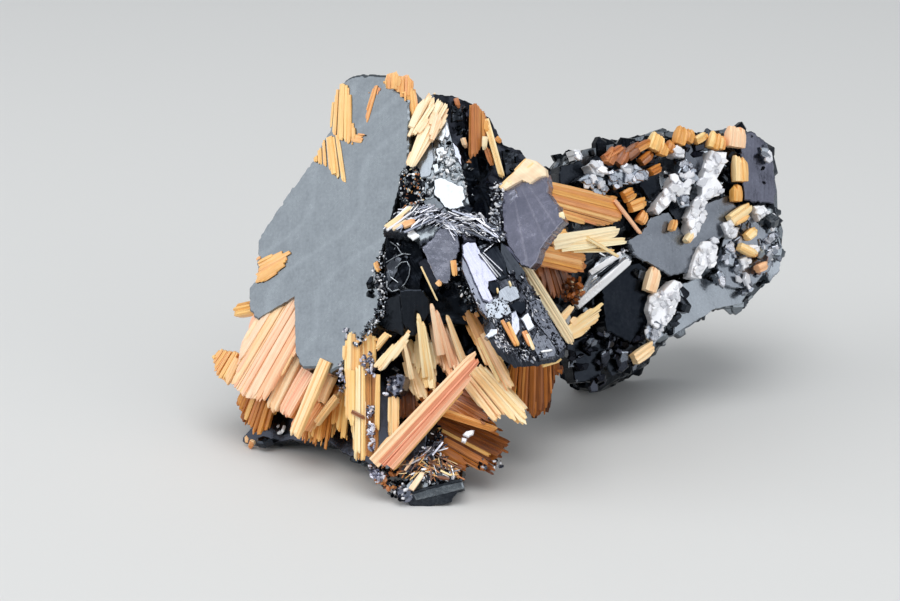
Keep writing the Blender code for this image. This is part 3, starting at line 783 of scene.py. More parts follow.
def area_of(outline):
    """The area of an outline of pixels, in square millimetres in the plane of focus."""
    corners = np.array(outline, float)
    return abs(turning(corners, np.roll(corners, -1, axis=0)).sum()) / 2 * PIXEL**2


print("the square of 16 pixels covers", area_of(SQUARE), "square millimetres")

# %% [markdown]
# ## Three ways to scatter
#
# Loose needles and crumbs of hematite lie inside outlines that the photograph shows. Where it shows
# nothing, at the sides and the back, the same tablets are strewn over a solid of the frame. Its triangles
# are drawn by their area, so that the tablets are equally dense everywhere.

# %% Needles, crumbs and skins
def needles(heap, outline, lean, count, length, width, mix, angle, spread, behind=(-0.4, 0.1), tint=0.0):
    """Loose needles inside an outline of pixels, each turned from an angle by up to the spread."""
    px, py = scatter(outline, count)
    turn = angle + draw.uniform(-spread, spread, len(px))
    reach = length / PIXEL / 2 * draw.uniform(0.5, 1.3, len(px))
    across, rise, level = np.cos(turn) * reach, np.sin(turn) * reach, draw.uniform(*behind, len(px))
    roots = lean.spot(px - across, py + rise, level)
    tips = lean.spot(px + across, py - rise, level + draw.normal(0, 0.1, len(px)))
    wide = width * draw.lognormal(0, 0.3, len(px))
    blades(heap, roots, tips, wide, wide * 0.6, lean.normal, pick(mix, len(px)), tint)


def crumbs(heap, outline, lean, size, mix=SPARKLE, behind=(-0.15, 0.25), cover=1.3, flat=0.6, tint=0.0,
           sides=5, **form):
    """Tablets scattered inside an outline until they cover it so many times, lying flatter the larger
    flat is."""
    px, py = scatter(outline, max(3, int(cover * area_of(outline) / size**2)))
    centres = lean.spot(px, py, draw.uniform(*behind, len(px)))
    axes = draw.normal(size=(len(px), 3)) * 0.6 + lean.normal * flat
    radius = size / 2 * np.minimum(draw.lognormal(0, 0.35, len(px)), 1.6)
    thick = radius * draw.uniform(0.5, 1.3, len(px))
    tablets(heap, centres, axes, radius, thick, pick(mix, len(px)), tint, sides, **form)


def skin(heap, node, count, size, mix=DIM, flat=0.9, sink=0.0, keep=None):
    """Tablets over a solid of the frame: triangles are drawn by area, and a place in each by two random
    shares."""
    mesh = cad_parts[node].data
    mesh.calc_loop_triangles()
    corners = np.empty(len(mesh.loop_triangles) * 3, np.int32)
    mesh.loop_triangles.foreach_get("vertices", corners)
    places = np.empty(len(mesh.vertices) * 3, np.float32)
    mesh.vertices.foreach_get("co", places)
    a, b, c = np.moveaxis(places.reshape(-1, 3)[corners.reshape(-1, 3)] / MM, 1, 0)
    cross = np.cross(b - a, c - a)
    area = np.linalg.norm(cross, axis=-1)
    chosen = draw.choice(len(area), count, p=area / area.sum())
    u, v = draw.uniform(0, 1, (2, count, 1))
    u, v = np.where(u + v > 1, 1 - u, u), np.where(u + v > 1, 1 - v, v)
    centres = a[chosen] + u * (b - a)[chosen] + v * (c - a)[chosen]
    normals = cross[chosen] / area[chosen, None]
    radius = size / 2 * np.minimum(draw.lognormal(0, 0.35, count), 1.3)
    centres = centres - normals * sink
    kept = centres[:, 2] > radius + 0.05
    if keep is not None:
        kept &= keep(*seen(centres))
    count, centres, normals, radius = kept.sum(), centres[kept], normals[kept], radius[kept]
    axes = normals * flat + draw.normal(size=(count, 3)) * 0.35
    tablets(heap, centres, axes, radius, radius * draw.uniform(0.6, 1.2, count), pick(mix, count))


def leave_bare(node):
    """Shows a solid of the frame itself, as the dark heart under its tablets."""
    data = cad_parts[node].data
    data.materials.clear()
    data.materials.append(bare_hematite)
    print(node, "stays in sight")


print("solids that may be strewn with tablets:", [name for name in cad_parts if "hematite" in name])

# %% [markdown]
# ## The main plate
#
# The big plate fills the left half of the cluster. It could be cut from a flat sheet, but a sheet would
# mirror one even grey, so it is one slab on its lean with very low swells. Its right edge is crowded with
# small bright tablets.

# %% Main plate
MAIN_OUTLINE = (
    (345, 80), (356, 74), (387, 74), (398, 90), (409, 98), (408, 163), (397, 195), (391, 221), (382, 251),
    (376, 276), (380, 300), (372, 324), (352, 350), (341, 366), (330, 372), (318, 368), (301, 367),
    (295, 352), (294, 297), (275, 308), (257, 319), (249, 310), (249, 288), (256, 280), (258, 240),
    (269, 221), (280, 206), (291, 189), (304, 171), (315, 157), (324, 139), (331, 128), (332, 105),
    (339, 88),
)
PLATE_RIM = (
    (380, 250), (388, 250), (385, 275), (388, 298), (382, 318), (372, 332), (360, 346), (352, 345),
    (366, 326), (374, 312), (379, 298), (374, 284), (370, 276),
)
DARK_CUBES = ((364, 282), (372, 278), (378, 286), (374, 296), (366, 295))


def plate_tone(px, py):
    """Steel grey with faint paler lines that rise to the right, where a wave across them is near its
    crest."""
    wave = np.sin((px * 0.8 + py * 0.6) * 0.16 + np.sin(py * 0.05) * 2)
    return 0.38 + 0.02 * np.maximum(wave, 0) ** 8


heap = Heap()
slab(heap, MAIN_OUTLINE, FRONT, deep=3.0, tone=plate_tone, step=1.8, rings=56, swell=0.012,
     centre=(330, 230), bevel=0.1, chip=0.9, lines=0.03)
crumbs(heap, PLATE_RIM, FRONT, size=0.17, mix=FLAKES, behind=(-0.25, 0.2), cover=2.0, tint=0.2)
crumbs(heap, DARK_CUBES, FRONT, size=0.4, mix=DIM, behind=(-0.4, 0.1), cover=1.6)
piece("main_plate", heap, "hematite", ["hematite_main_plate"], smooth=24)

# %% [markdown]
# ## Golden inlays
#
# Rutile that grew through the plate shows in its face as golden wedges. Painted patches would have no
# ridges, so each inlay is a sheaf one layer deep, which stands a tenth of a millimetre out of the slab.
# Each has a focus of its own, because the wedges run different ways.

# %% Inlays in the main plate
UPPER_WEDGE = ((340, 84), (348, 86), (353, 125), (356, 138), (348, 144), (338, 141), (331, 131), (332, 106))
LOWER_WEDGE = ((325, 138), (339, 136), (341, 154), (346, 186), (335, 176), (326, 167), (314, 160),
               (321, 147))
RED_STREAK = ((369, 92), (376, 86), (381, 88), (373, 103), (369, 124), (365, 128), (366, 108))
FOOT_OF_WEDGE = ((352, 134), (366, 133), (363, 144), (352, 143))
LEFT_INLAY = ((256, 258), (290, 251), (283, 265), (271, 278), (254, 284), (258, 268))
heap = Heap()
sheaf(heap, UPPER_WEDGE, (350, -100), FRONT, width=0.22, deep=0.3, tone=0.74, tint=0.08, ragged=0.05,
      layers=1, behind=-0.1, wild=0.03)
sheaf(heap, LOWER_WEDGE, (310, -50), FRONT, width=0.22, deep=0.3, tone=0.74, tint=0.08, ragged=0.08,
      layers=1, behind=-0.1, wild=0.03)
sheaf(heap, FOOT_OF_WEDGE, (250, 120), FRONT, width=0.22, deep=0.25, tone=0.62, tint=0.3, ragged=0.2,
      layers=1, behind=-0.08)
sheaf(heap, RED_STREAK, (395, 20), FRONT, width=0.14, deep=0.2, tone=0.55, tint=0.3, ragged=0.2, layers=1,
      behind=-0.06, cover=1.2)
piece("upper_inlay", heap, "rutile", ["rutile_upper_inlay"])
heap = Heap()
sheaf(heap, LEFT_INLAY, (400, 190), FRONT, width=0.22, deep=0.3, tone=0.66, tint=0.15, ragged=0.08,
      layers=1, behind=-0.1, wild=0.03)
piece("left_inlay", heap, "rutile", ["rutile_left_inlay"])

# %% [markdown]
# ## The fan and the fingers
#
# Below and left of the plate the blades run to the lower left. The wide fan is one sheaf, four layers
# deep. Each finger is a short ragged sheaf, and a few broad planks are laid over them one by one, because
# single wide blades stand out there.

# %% Sheaves on the left
FAN = (
    (296, 290), (275, 300), (255, 311), (248, 334), (240, 352), (237, 367), (233, 388), (245, 399),
    (260, 402), (277, 382), (290, 360), (298, 350),
)
GOLD_KNOB = ((213, 358), (222, 350), (238, 353), (240, 372), (230, 385), (216, 377))
# Each plank has its root and its tip, how far it lies behind the plate, its width, its tone and its tint.
PLANKS = (
    ((297, 356), (271, 411), 1.1, 1.0, 0.88, 0.6), ((309, 370), (284, 415), 1.0, 1.1, 0.8, 1.0),
    ((326, 360), (294, 437), -0.1, 0.85, 0.86, 0.3), ((332, 376), (321, 403), 1.0, 0.6, 0.84, 0.5),
    ((337, 396), (316, 424), 1.2, 0.4, 0.8, 0.3), ((322, 404), (306, 430), 1.5, 0.4, 0.74, 0.5),
)
FINGERS = (
    ((290, 352), (305, 366), (281, 402), (269, 413), (264, 408), (280, 382)),
    ((303, 366), (320, 374), (303, 402), (288, 422), (279, 412), (292, 392)),
    ((311, 374), (326, 361), (329, 368), (318, 402), (300, 438), (288, 430)),
    ((329, 372), (338, 372), (326, 404), (316, 400)),
    ((333, 396), (340, 390), (338, 402), (318, 428), (309, 432), (312, 424)),
)
heap = Heap()
sheaf(heap, FAN, (600, -221), FRONT, width=0.3, deep=2.2, tone=0.83, tint=0.8, ragged=0.04, layers=4,
      behind=0.3, wild=0.04, hue=0.3, calm=0.03, cover=2.2)
sheaf(heap, GOLD_KNOB, (300, 240), FRONT, width=0.29, deep=2.0, tone=0.72, tint=0.1, ragged=0.15,
      behind=1.2, wild=0.08)
lath(heap, FRONT, (256, 307), (236, 311), behind=0.9, width=0.8, thick=0.9, tone=0.66, strands=4)
piece("left_fan", heap, "rutile", ["rutile_left_fan"])
heap = Heap()
for outline, level in zip(FINGERS, (1.2, 1.2, 1.0, 1.0, 1.5)):
    sheaf(heap, outline, (560, -80), FRONT, width=0.19, deep=1.8, tone=0.76, tint=0.4, ragged=0.3,
          behind=level + 0.3, wild=0.1)
for root, tip, behind, width, tone, tint in PLANKS:
    lath(heap, FRONT, root, tip, behind, width, thick=0.4, tone=tone, tint=tint, strands=5, tip_width=0.85)
piece("fingers", heap, "rutile", ["rutile_fingers"])

# %% [markdown]
# ## The lower fringe
#
# Under the fingers hangs a brown fringe. On the real object it is glassy and partly see-through. Here its
# blades are solid brown with streaks, as dark as the shadow behind them makes them look. Up to nearly half
# of a blade is cut off at random, so that the ends look torn.

# %% Lower fringe
FRINGE = (
    (298, 426), (316, 400), (332, 386), (347, 388), (347, 440), (336, 446), (318, 454), (303, 449),
)
LEFT_FRINGE = ((244, 394), (262, 398), (276, 410), (268, 434), (252, 440), (242, 424), (237, 405))
heap = Heap()
sheaf(heap, FRINGE, (380, 100), FRONT, width=0.16, deep=1.4, tone=0.62, ragged=0.45, cover=1.5, behind=2.5,
      wild=0.12)
sheaf(heap, LEFT_FRINGE, (330, 200), FRONT, width=0.24, deep=1.7, tone=0.48, ragged=0.35, cover=1.6,
      behind=2.6, wild=0.1)
crumbs(heap, ((246, 438), (256, 438), (257, 445), (248, 445)), FRONT, size=0.4,
       mix=((0.6, 0.5), (0.9, 0.5)), behind=(3.2, 3.8), cover=2.0, tint=0.5)
piece("lower_fringe", heap, "brown_rutile", ["rutile_lower_fringe"])

# %% [markdown]
# ## The column
#
# Under the plate's tip hang golden blades, side by side like a column. Four outlines follow its parts,
# and all of them share one focus far above, so that the blades stay parallel. Shorter bundles stand at
# its right.

# %% Column and short blades
COLUMN = Lean(362, 400, 1.3, right=-0.2, up=0.12)
BEFORE = Lean(390, 370, 0.8, right=-0.3, up=0.15)
# Each part has its outline, how far it lies behind the lean, and its tone.
COLUMN_PARTS = (
    (((344, 346), (351, 331), (358, 341), (366, 330), (376, 338), (375, 368), (352, 380), (344, 374)), 0.3,
     0.8),
    (((345, 371), (352, 368), (352, 425), (346, 421)), 0.1, 0.82),
    (((351, 372), (363, 366), (366, 412), (364, 463), (355, 463), (351, 425)), -0.1, 0.9),
    (((364, 372), (375, 376), (378, 450), (372, 459), (363, 461), (365, 420)), 0.4, 0.74),
)
heap = Heap()
for outline, level, tone in COLUMN_PARTS:
    sheaf(heap, outline, (362, -400), COLUMN, width=0.14, deep=1.6, tone=tone, tint=0.1, ragged=0.16,
          behind=level, wild=0.1)
lath(heap, COLUMN, (352, 411), (365, 418), behind=-0.15, width=0.22, thick=0.3, tone=0.22, strands=2)
piece("column", heap, "rutile", ["rutile_column"])
heap = Heap()
sheaf(heap, ((379, 374), (372, 366), (392, 346), (404, 338), (409, 330), (406, 344)), (480, 240), BEFORE,
      width=0.17, deep=1.0, tone=0.88, tint=0.4)
sheaf(heap, ((376, 352), (376, 343), (386, 333), (391, 335)), (430, 285), BEFORE, width=0.17, deep=0.8,
      tone=0.82, tint=0.3, layers=2)
piece("short_blades", heap, "rutile", ["rutile_short_blades"])
heap = Heap()
one_blade(heap, (378, 374, 1.2), (377, 430, 1.0), width=0.26, thick=0.3, tone=0.74, strands=2,
          tip_width=1.0)
sheaf(heap, ((388, 398), (399, 396), (398, 437), (389, 438)), (393, 100), BEFORE, width=0.16, deep=0.9,
      tone=0.82, tint=0.1, ragged=0.1, layers=2, behind=0.4)
sheaf(heap, ((398, 383), (420, 380), (416, 420), (399, 422)), (400, 100), BEFORE, width=0.29, deep=0.8,
      tone=0.2, ragged=0.2, layers=2, behind=2.2)
piece("inner_blades", heap, "rutile", ["rutile_inner_blades"])

# %% [markdown]
# ## The long front blade
#
# One long blade lies across the front, with pale edges and a pink groove. A cut groove would be thinner
# than the light can show, so four strands lie side by side instead. Each is rolled a little round its own
# length, and those that turn away from the lamp draw the groove.

# %% Long front blade
# Each strand has its root and its tip with their depths, its width, its tone, its tint and its roll.
BLADE_STRANDS = (
    ((374, 462, 0.6), (480, 351, -0.9), 0.76, 0.87, 0.7, 0.2),
    ((382, 463, 0.5), (479, 357, -0.9), 0.5, 0.6, 1.0, -0.3),
    ((390, 466, 0.4), (474, 370, -0.75), 0.5, 0.71, 1.0, 0.1),
    ((394, 468, 0.6), (464, 388, -0.4), 0.24, 0.72, 0.2, 0.2),
)
heap = Heap()
for root, tip, width, tone, tint, roll in BLADE_STRANDS:
    one_blade(heap, root, tip, width, thick=0.5, tone=tone, tint=tint, strands=2, tip_width=0.7,
              facing=roll * UPWARDS - AWAY)
one_blade(heap, (378, 450, 0.9), (391, 435, 0.5), width=0.2, thick=0.2, tone=0.92, tint=0.3, strands=1)
piece("front_blade", heap, "rutile", ["rutile_front_blade"])

# %% [markdown]
# ## Lilac grains
#
# Small grains of hematite with a lilac tarnish fill the gaps between the blades. No single grain matters,
# so they are tablets scattered inside outlines, and a small slab carries the densest patch.

# %% Lilac grains between the blades
LILAC_GRAINS = (
    (COLUMN, ((360, 358), (370, 352), (377, 360), (376, 376), (364, 374))),
    (FRONT, ((338, 363), (344, 360), (346, 392), (339, 390))),
    (COLUMN, ((367, 401), (375, 405), (375, 454), (369, 452))),
    (FRONT, ((344, 327), (350, 330), (350, 349), (345, 345))),
    (COLUMN, ((366, 464), (378, 466), (386, 478), (376, 484), (370, 474))),
)
heap = Heap()
for lean, outline in LILAC_GRAINS:
    crumbs(heap, outline, lean, size=0.24, mix=((0.35, 0.3), (0.6, 0.3), (0.84, 0.4)), behind=(-0.25, 0.1),
           cover=2.4, tint=0.9)
slab(heap, ((386, 390), (388, 380), (397, 373), (405, 376), (403, 388), (396, 397)), BEFORE, deep=1.2,
     tone=0.36, tint=0.7, behind=0.3, step=1.2, rings=8, swell=0.03, swells=(20, 5))
crumbs(heap, ((384, 376), (400, 372), (406, 386), (396, 398), (386, 396)), BEFORE, size=0.24,
       mix=((0.1, 0.4), (0.4, 0.3), (0.84, 0.3)), behind=(0.05, 0.4), cover=1.0, tint=0.7)
piece("lilac_grains", heap, "hematite")

# %% [markdown]
# ## The crystals in the middle
#
# The middle is one crowded intergrowth: a dark core, a ledge of bright flakes across it, a stout prism
# that comes towards the eye, black mirror faces at its left and a silvery strip that climbs to the crest.
# Most of them are facets: thin slabs with an outline, a lean and a tone of their own.

# %% Core and black faces
CORE = Lean(450, 270, 2.6, right=-0.1, up=0.15)
LEDGE = Lean(440, 236, 0.6, right=0.05, up=0.75)
HIGH = Lean(408, 262, 1.7, right=-0.1, up=0.15)
LOW_LEFT = Lean(392, 312, 1.3, right=-0.9, up=-0.2)
LOW_RIGHT = Lean(412, 312, 0.85, right=0.15, up=-0.29)
FACE = Lean(440, 255, 0.45, right=-0.05, up=0.15)
BACKING = Lean(455, 355, 4.2, right=-0.1, up=0.3)


def facets(heap, lean, rows, deep=0.5, **settings):
    """Thin slabs on one lean. Each row has an outline, how far it lies behind the lean, a tone and a
    tint."""
    for outline, behind, tone, tint in rows:
        slab(heap, outline, lean, deep, tone, tint, behind, step=1.2, rings=8, swells=(30, 5), **settings)


CORE_OUTLINE = (
    (390, 230), (405, 222), (470, 214), (505, 240), (522, 290), (480, 326), (430, 322), (402, 336),
    (386, 300),
)
BLACK_FACE = ((387, 231), (402, 228), (420, 238), (424, 256), (420, 292), (400, 296), (385, 290),
              (384, 262))
heap = Heap()
slab(heap, CORE_OUTLINE, CORE, deep=4.4, tone=0.05, swell=0.1, swells=(40, 8), rings=16)
slab(heap, BLACK_FACE, HIGH, deep=2.6, tone=0.03, swell=0.05, swells=(30, 5), step=1.5, lines=0.2, turn=0.6)
crumbs(heap, ((384, 232), (420, 242), (416, 258), (392, 262)), HIGH, size=0.22,
       mix=((0.03, 0.8), (0.3, 0.15), (0.6, 0.05)), behind=(-0.1, 0.1), cover=1.0)
facets(heap, HIGH, [
    (((386, 264), (396, 252), (402, 258), (396, 274), (388, 284)), -0.2, 0.3, 0.2),
    (((402, 258), (410, 258), (410, 276), (402, 286), (400, 272)), -0.1, 0.02, 0.0),
    (((388, 284), (400, 276), (404, 284), (396, 292), (387, 290)), -0.15, 0.14, 0.0),
], swell=0.04)
slab(heap, ((383, 300), (400, 294), (403, 336), (388, 330), (379, 324)), LOW_LEFT, deep=1.6, tone=0.1,
     swell=0.02, step=1.5)
slab(heap, ((400, 290), (424, 290), (433, 306), (416, 335), (403, 336)), LOW_RIGHT, deep=2.4, tone=0.08,
     swell=0.02, step=1.5, lines=0.1)
slab(heap, ((418, 262), (424, 258), (434, 262), (442, 282), (436, 290), (426, 280)), HIGH, deep=1.2,
     tone=0.22, tint=0.5, behind=-0.7, step=1.5, swell=0.02)
HAIRS = (
    ((395, 268), (401, 262), (407, 261), (410, 267), (409, 275), (405, 283), (399, 289), (392, 291),
     (387, 287), (387, 280)),
    ((386, 262), (396, 256), (404, 253), (411, 254)),
    ((390, 241), (397, 246), (402, 254)),
    ((398, 282), (390, 276), (388, 270)),
)
for hair in HAIRS:
    for start, end in zip(hair, hair[1:]):
        lath(heap, HIGH, start, end, behind=-0.22, width=0.045, thick=0.05, tone=0.6)
slab(heap, ((404, 322), (488, 316), (514, 352), (498, 392), (440, 404), (408, 384)), BACKING, deep=1.4,
     tone=0.03, swell=0.1, swells=(40, 8))
piece("black_faces", heap, "hematite", ["hematite_centre"], smooth=24)

# %% [markdown]
# ## The lavender face and the ledge
#
# A smooth lavender face stands to the left of the prism, and over it runs a ledge of bright flakes that
# stream one way. Slabs make its bed. Tablets stretched along the stream give the flakes, thin laths the
# long streaks and needles the finest glints.

# %% Lavender face and ledge
LAVENDER = (
    (422, 247), (431, 238), (440, 226), (447, 228), (458, 236), (460, 246), (456, 258), (451, 262),
    (450, 280), (444, 283), (437, 279), (428, 262),
)
LEDGE_FLAKES = (
    ((384, 226), (400, 210), (412, 202), (420, 204), (436, 214), (438, 224), (420, 222), (404, 226),
     (388, 229)),
    ((420, 206), (430, 204), (446, 214), (462, 212), (470, 210), (476, 216), (470, 224), (446, 228),
     (436, 222)),
    ((446, 222), (464, 214), (478, 214), (490, 222), (498, 234), (492, 242), (478, 236), (462, 232),
     (450, 236)),
)
heap = Heap()
slab(heap, LAVENDER, FACE, deep=2.2, tone=0.57, tint=0.7, swell=0.012, swells=(40, 6), step=1.2, rings=24,
     lines=0.04)
facets(heap, LEDGE, [
    (((384, 228), (404, 212), (430, 205), (452, 213), (476, 211), (500, 236), (480, 236), (446, 228),
      (412, 232)), 0.1, 0.3, 0.2),
    (((414, 229), (420, 222), (438, 224), (440, 227), (432, 236), (420, 240)), -0.15, 0.42, 0.0),
    (((462, 234), (468, 228), (475, 232), (476, 240), (463, 241)), -0.2, 0.2, 0.6),
], deep=0.9, swell=0.03)
# A small white facet on the ledge is a painted highlight.
facets(heap, LEDGE, [(((407, 230), (413, 228), (420, 235), (413, 239), (408, 234)), -0.2, 1.0, 0.0)],
       deep=0.2)
for root, tip, tone in (
    ((387, 230), (413, 211), 0.85), ((396, 229), (425, 213), 0.6), ((391, 223), (409, 205), 0.95),
    ((404, 232), (436, 217), 0.4), ((420, 212), (436, 204), 0.7), ((470, 214), (496, 232), 0.8),
    ((452, 210), (480, 220), 0.55), ((440, 221), (470, 228), 0.7), ((466, 230), (492, 241), 0.5),
    ((388, 227), (402, 216), 0.9), ((412, 226), (428, 215), 0.8), ((478, 224), (498, 238), 0.6),
):
    lath(heap, LEDGE, root, tip, behind=-0.5, width=0.16, thick=0.14, tone=tone, tint=0.5, strands=2,
         tip_width=0.3)
for outline, rise in zip(LEDGE_FLAKES, (0.7, 0.1, -0.6)):
    flow = RIGHTWARDS + rise * UPWARDS
    crumbs(heap, outline, LEDGE, size=0.3, mix=FLAKES, behind=(-0.3, 0.1), cover=2.4, flat=0.5, tint=0.5,
           stretch=1.9, along=flow)
    crumbs(heap, outline, LEDGE, size=0.16, mix=FLAKES, behind=(-0.4, 0.0), cover=1.2, tint=0.4,
           stretch=1.7, along=flow)
    needles(heap, outline, LEDGE, count=60, length=0.7, width=0.07, mix=SILVERY, angle=rise * 0.7,
            spread=0.7, behind=(-0.6, -0.2), tint=0.5)
for outline in (
    ((452, 262), (464, 256), (465, 276), (470, 290), (476, 306), (464, 300), (454, 284)),
    ((457, 282), (472, 288), (484, 312), (476, 313), (464, 304)),
):
    crumbs(heap, outline, CORE, size=0.24, behind=(-2.3, -1.7))
piece("ledge", heap, "hematite", smooth=24)

# %% [markdown]
# ## The strip and the knob
#
# The silvery strip is a crust of fine grains with one very white patch, which is a painted highlight. A
# speckled knob with a black hollow stands at its left, and the hollow is painted shade: black facets laid
# on the knob. A plain grey facet lies between them.

# %% Strip and knob
STRIP = Lean(448, 165, 3.3, right=0.0, up=0.36)
KNOB = Lean(411, 185, 1.9, right=-0.1, up=0.1)
STRIP_OUTLINE = (
    (440, 118), (447, 117), (451, 136), (458, 155), (464, 176), (470, 206), (452, 213), (426, 208),
    (424, 186), (431, 160), (434, 140),
)
KNOB_OUTLINE = ((400, 174), (405, 165), (415, 166), (423, 182), (424, 198), (420, 206), (403, 210),
                (399, 192))
heap = Heap()
slab(heap, STRIP_OUTLINE, STRIP, deep=1.6, tone=0.4, swell=0.06, swells=(20, 5))
facets(heap, STRIP, [
    (((417, 166), (424, 146), (433, 142), (434, 160), (430, 176), (421, 178)), -0.1, 0.43, 0.1),
    (((434, 135), (440, 127), (446, 124), (446, 132), (442, 142), (438, 140)), -0.25, 0.6, 0.0),
    (((446, 120), (450, 134), (448, 138), (443, 136)), -0.2, 0.6, 0.2),
    (((436, 148), (444, 145), (446, 152), (441, 160), (437, 162)), -0.25, 0.58, 0.0),
    (((432, 163), (438, 162), (440, 170), (434, 174)), -0.25, 0.56, 0.0),
    (((452, 140), (460, 150), (462, 166), (456, 158)), -0.15, 0.55, 0.5),
    # The very white patch, a painted highlight.
    (((434, 178), (441, 176), (452, 182), (464, 186), (466, 196), (463, 202), (464, 206), (450, 210),
      (444, 206), (440, 200), (433, 194)), -0.4, 0.585, 0.0),
    (((422, 200), (434, 196), (441, 201), (448, 211), (440, 212), (426, 209)), -0.3, 0.3, 0.0),
    (((450, 211), (468, 204), (474, 207), (472, 212), (452, 216)), -0.2, 0.0, 0.0),
], swell=0.012)
for outline in (
    ((440, 140), (450, 142), (460, 164), (466, 182), (468, 206), (464, 186), (450, 180), (438, 174),
     (434, 160)),
    ((424, 184), (434, 174), (436, 180), (432, 196), (426, 198)),
):
    crumbs(heap, outline, STRIP, size=0.2, mix=SILVERY, behind=(-0.35, 0.05), cover=1.2)
slab(heap, KNOB_OUTLINE, KNOB, deep=1.6, tone=0.05, behind=0.15, swell=0.08, swells=(10, 4), step=1.5)
crumbs(heap, KNOB_OUTLINE, KNOB, size=0.2, mix=FLAKES, behind=(-0.25, 0.1), cover=2.4, flat=0.3)
# Black facets paint the shade of the knob's hollow.
facets(heap, KNOB, [
    (((405, 196), (411, 192), (416, 195), (417, 200), (410, 203)), -0.35, 0.0, 0.0),
    (((400, 202), (404, 201), (404, 209), (400, 211)), -0.35, 0.0, 0.0),
    (((404, 168), (408, 165), (411, 167), (408, 170)), -0.3, 0.0, 0.0),
], swell=0.02)
piece("strip_and_knob", heap, "hematite", smooth=24)

# %% [markdown]
# ## The prism
#
# The prism is a dark body with many small facets on it: a long white one at its left, a black one with
# pale chevrons, and a ragged end with bright squares. The white facet and the bright squares are painted
# highlights, and the other tones painted reflections.

# %% Prism
PRISM = Lean(515, 300, -0.5, right=0.15, up=0.45)
PRISM_BODY = (
    (461, 240), (476, 236), (494, 238), (506, 246), (528, 272), (542, 298), (552, 322), (567, 344),
    (566, 351), (557, 358), (540, 362), (516, 364), (500, 352), (486, 330), (484, 314), (472, 288),
    (462, 258),
)
ALONG_PRISM = 0.55
DOWN_PRISM = 0.6 * RIGHTWARDS - UPWARDS
FINE_GREY = ((0.05, 0.3), (0.3, 0.35), (0.5, 0.25), (0.9, 0.1))
heap = Heap()
slab(heap, PRISM_BODY, PRISM, deep=2.4, tone=0.2, tint=0.2, step=1.5, rings=30, swell=0.05, swells=(30, 4),
     lines=0.5, turn=ALONG_PRISM, bevel=0.5, taper=0.55)
facets(heap, PRISM, [
    (((462, 256), (470, 268), (480, 288), (488, 308), (487, 317), (478, 306), (470, 288), (462, 268)), -0.1,
     0.36, 0.5),
    (((462, 244), (468, 240), (475, 241), (480, 250), (488, 264), (498, 279), (489, 281), (488, 289),
      (493, 299), (489, 302), (483, 300), (476, 284), (469, 267), (463, 254)), -0.3, 0.56, 0.8),
    (((477, 240), (494, 238), (506, 262), (508, 276), (500, 280), (490, 270), (482, 256)), -0.12, 0.03,
     0.0),
    (((478, 246), (492, 240), (494, 242), (480, 249)), -0.25, 0.4, 0.3),
    (((497, 290), (508, 284), (517, 286), (521, 297), (506, 304), (499, 300)), -0.2, 0.42, 0.2),
    (((484, 304), (498, 296), (508, 302), (512, 312), (500, 319), (488, 317)), -0.15, 0.5, 0.2),
    (((489, 281), (498, 281), (501, 288), (494, 294), (488, 290)), -0.32, 0.0, 0.0),
    (((510, 304), (517, 300), (526, 301), (527, 309), (521, 314), (514, 310)), -0.3, 0.0, 0.0),
    (((511, 312), (516, 309), (519, 318), (520, 330), (516, 336), (512, 330)), -0.35, 0.56, 0.5),
    (((521, 317), (528, 311), (535, 326), (528, 331)), -0.4, 0.6, 0.2),
    (((528, 300), (540, 298), (552, 322), (566, 345), (560, 352), (546, 334), (534, 320)), -0.1, 0.28, 0.3),
    (((536, 331), (545, 333), (557, 348), (556, 356), (540, 359), (530, 342)), -0.15, 0.3, 0.3),
    (((541, 350), (553, 348), (553, 350), (541, 352)), -0.3, 0.97, 0.0),
    (((485, 335), (491, 328), (498, 328), (498, 333), (488, 338)), -0.4, 0.58, 0.3),
    (((500, 240), (506, 246), (526, 272), (522, 284), (508, 272), (500, 250)), -0.1, 0.14, 0.0),
], swell=0.02, lines=0.12, turn=ALONG_PRISM, chip=0.5)
for start, end in (
    ((483, 252), (504, 272)), ((481, 253), (501, 276)), ((484, 251), (494, 243)), ((479, 252), (498, 277)),
):
    lath(heap, PRISM, start, end, behind=-0.42, width=0.06, thick=0.1, tone=0.8, tint=0.3)
for outline, mix, cover in (
    (((484, 302), (500, 296), (514, 304), (510, 330), (498, 330), (488, 318)), SPARKLE, 1.1),
    (((494, 332), (504, 334), (512, 350), (505, 353), (496, 344)), SILVERY, 1.6),
    (((518, 344), (527, 342), (531, 352), (528, 359), (520, 357)), SPARKLE, 1.5),
    (((500, 268), (524, 274), (530, 296), (512, 286)), DIM, 0.8),
    (((526, 284), (540, 296), (566, 345), (556, 358), (520, 363), (504, 352), (520, 340)), FINE_GREY, 0.6),
    (((466, 262), (474, 290), (486, 312), (484, 318), (472, 292)), FINE_GREY, 0.6),
):
    crumbs(heap, outline, PRISM, size=0.12, mix=mix, behind=(-0.22, -0.02), cover=cover, tint=0.4,
           stretch=1.8, along=DOWN_PRISM)
piece("prism", heap, "hematite", smooth=24)

# %% [markdown]
# ## The violet plate
#
# Right of the middle stands a small plate with a violet tarnish. Faint lines fan out over it, and its
# left rim is crusted. The lines are only a change of tone, because they are too shallow to be felt.

# %% Violet plate
VIOLET_OUTLINE = (
    (503, 188), (510, 182), (525, 181), (545, 172), (548, 184), (546, 192), (556, 204), (563, 220),
    (556, 228), (547, 238), (540, 249), (536, 262), (530, 267), (522, 266), (510, 248), (503, 232),
    (502, 210),
)
VIOLET_RIM = ((490, 186), (496, 181), (503, 180), (507, 188), (502, 198), (503, 226), (506, 240),
              (498, 240), (490, 222))


def fan_lines(px, py):
    """A violet tone with paler lines that run out from one spot, wherever the angle round it is near a
    set one."""
    angle = np.degrees(np.arctan2(505 - px, py - 150))
    lines = sum(np.exp(-(((angle - at) / 0.8) ** 2)) for at in (-52, -34, -24, -11))
    return 0.59 + 0.09 * lines


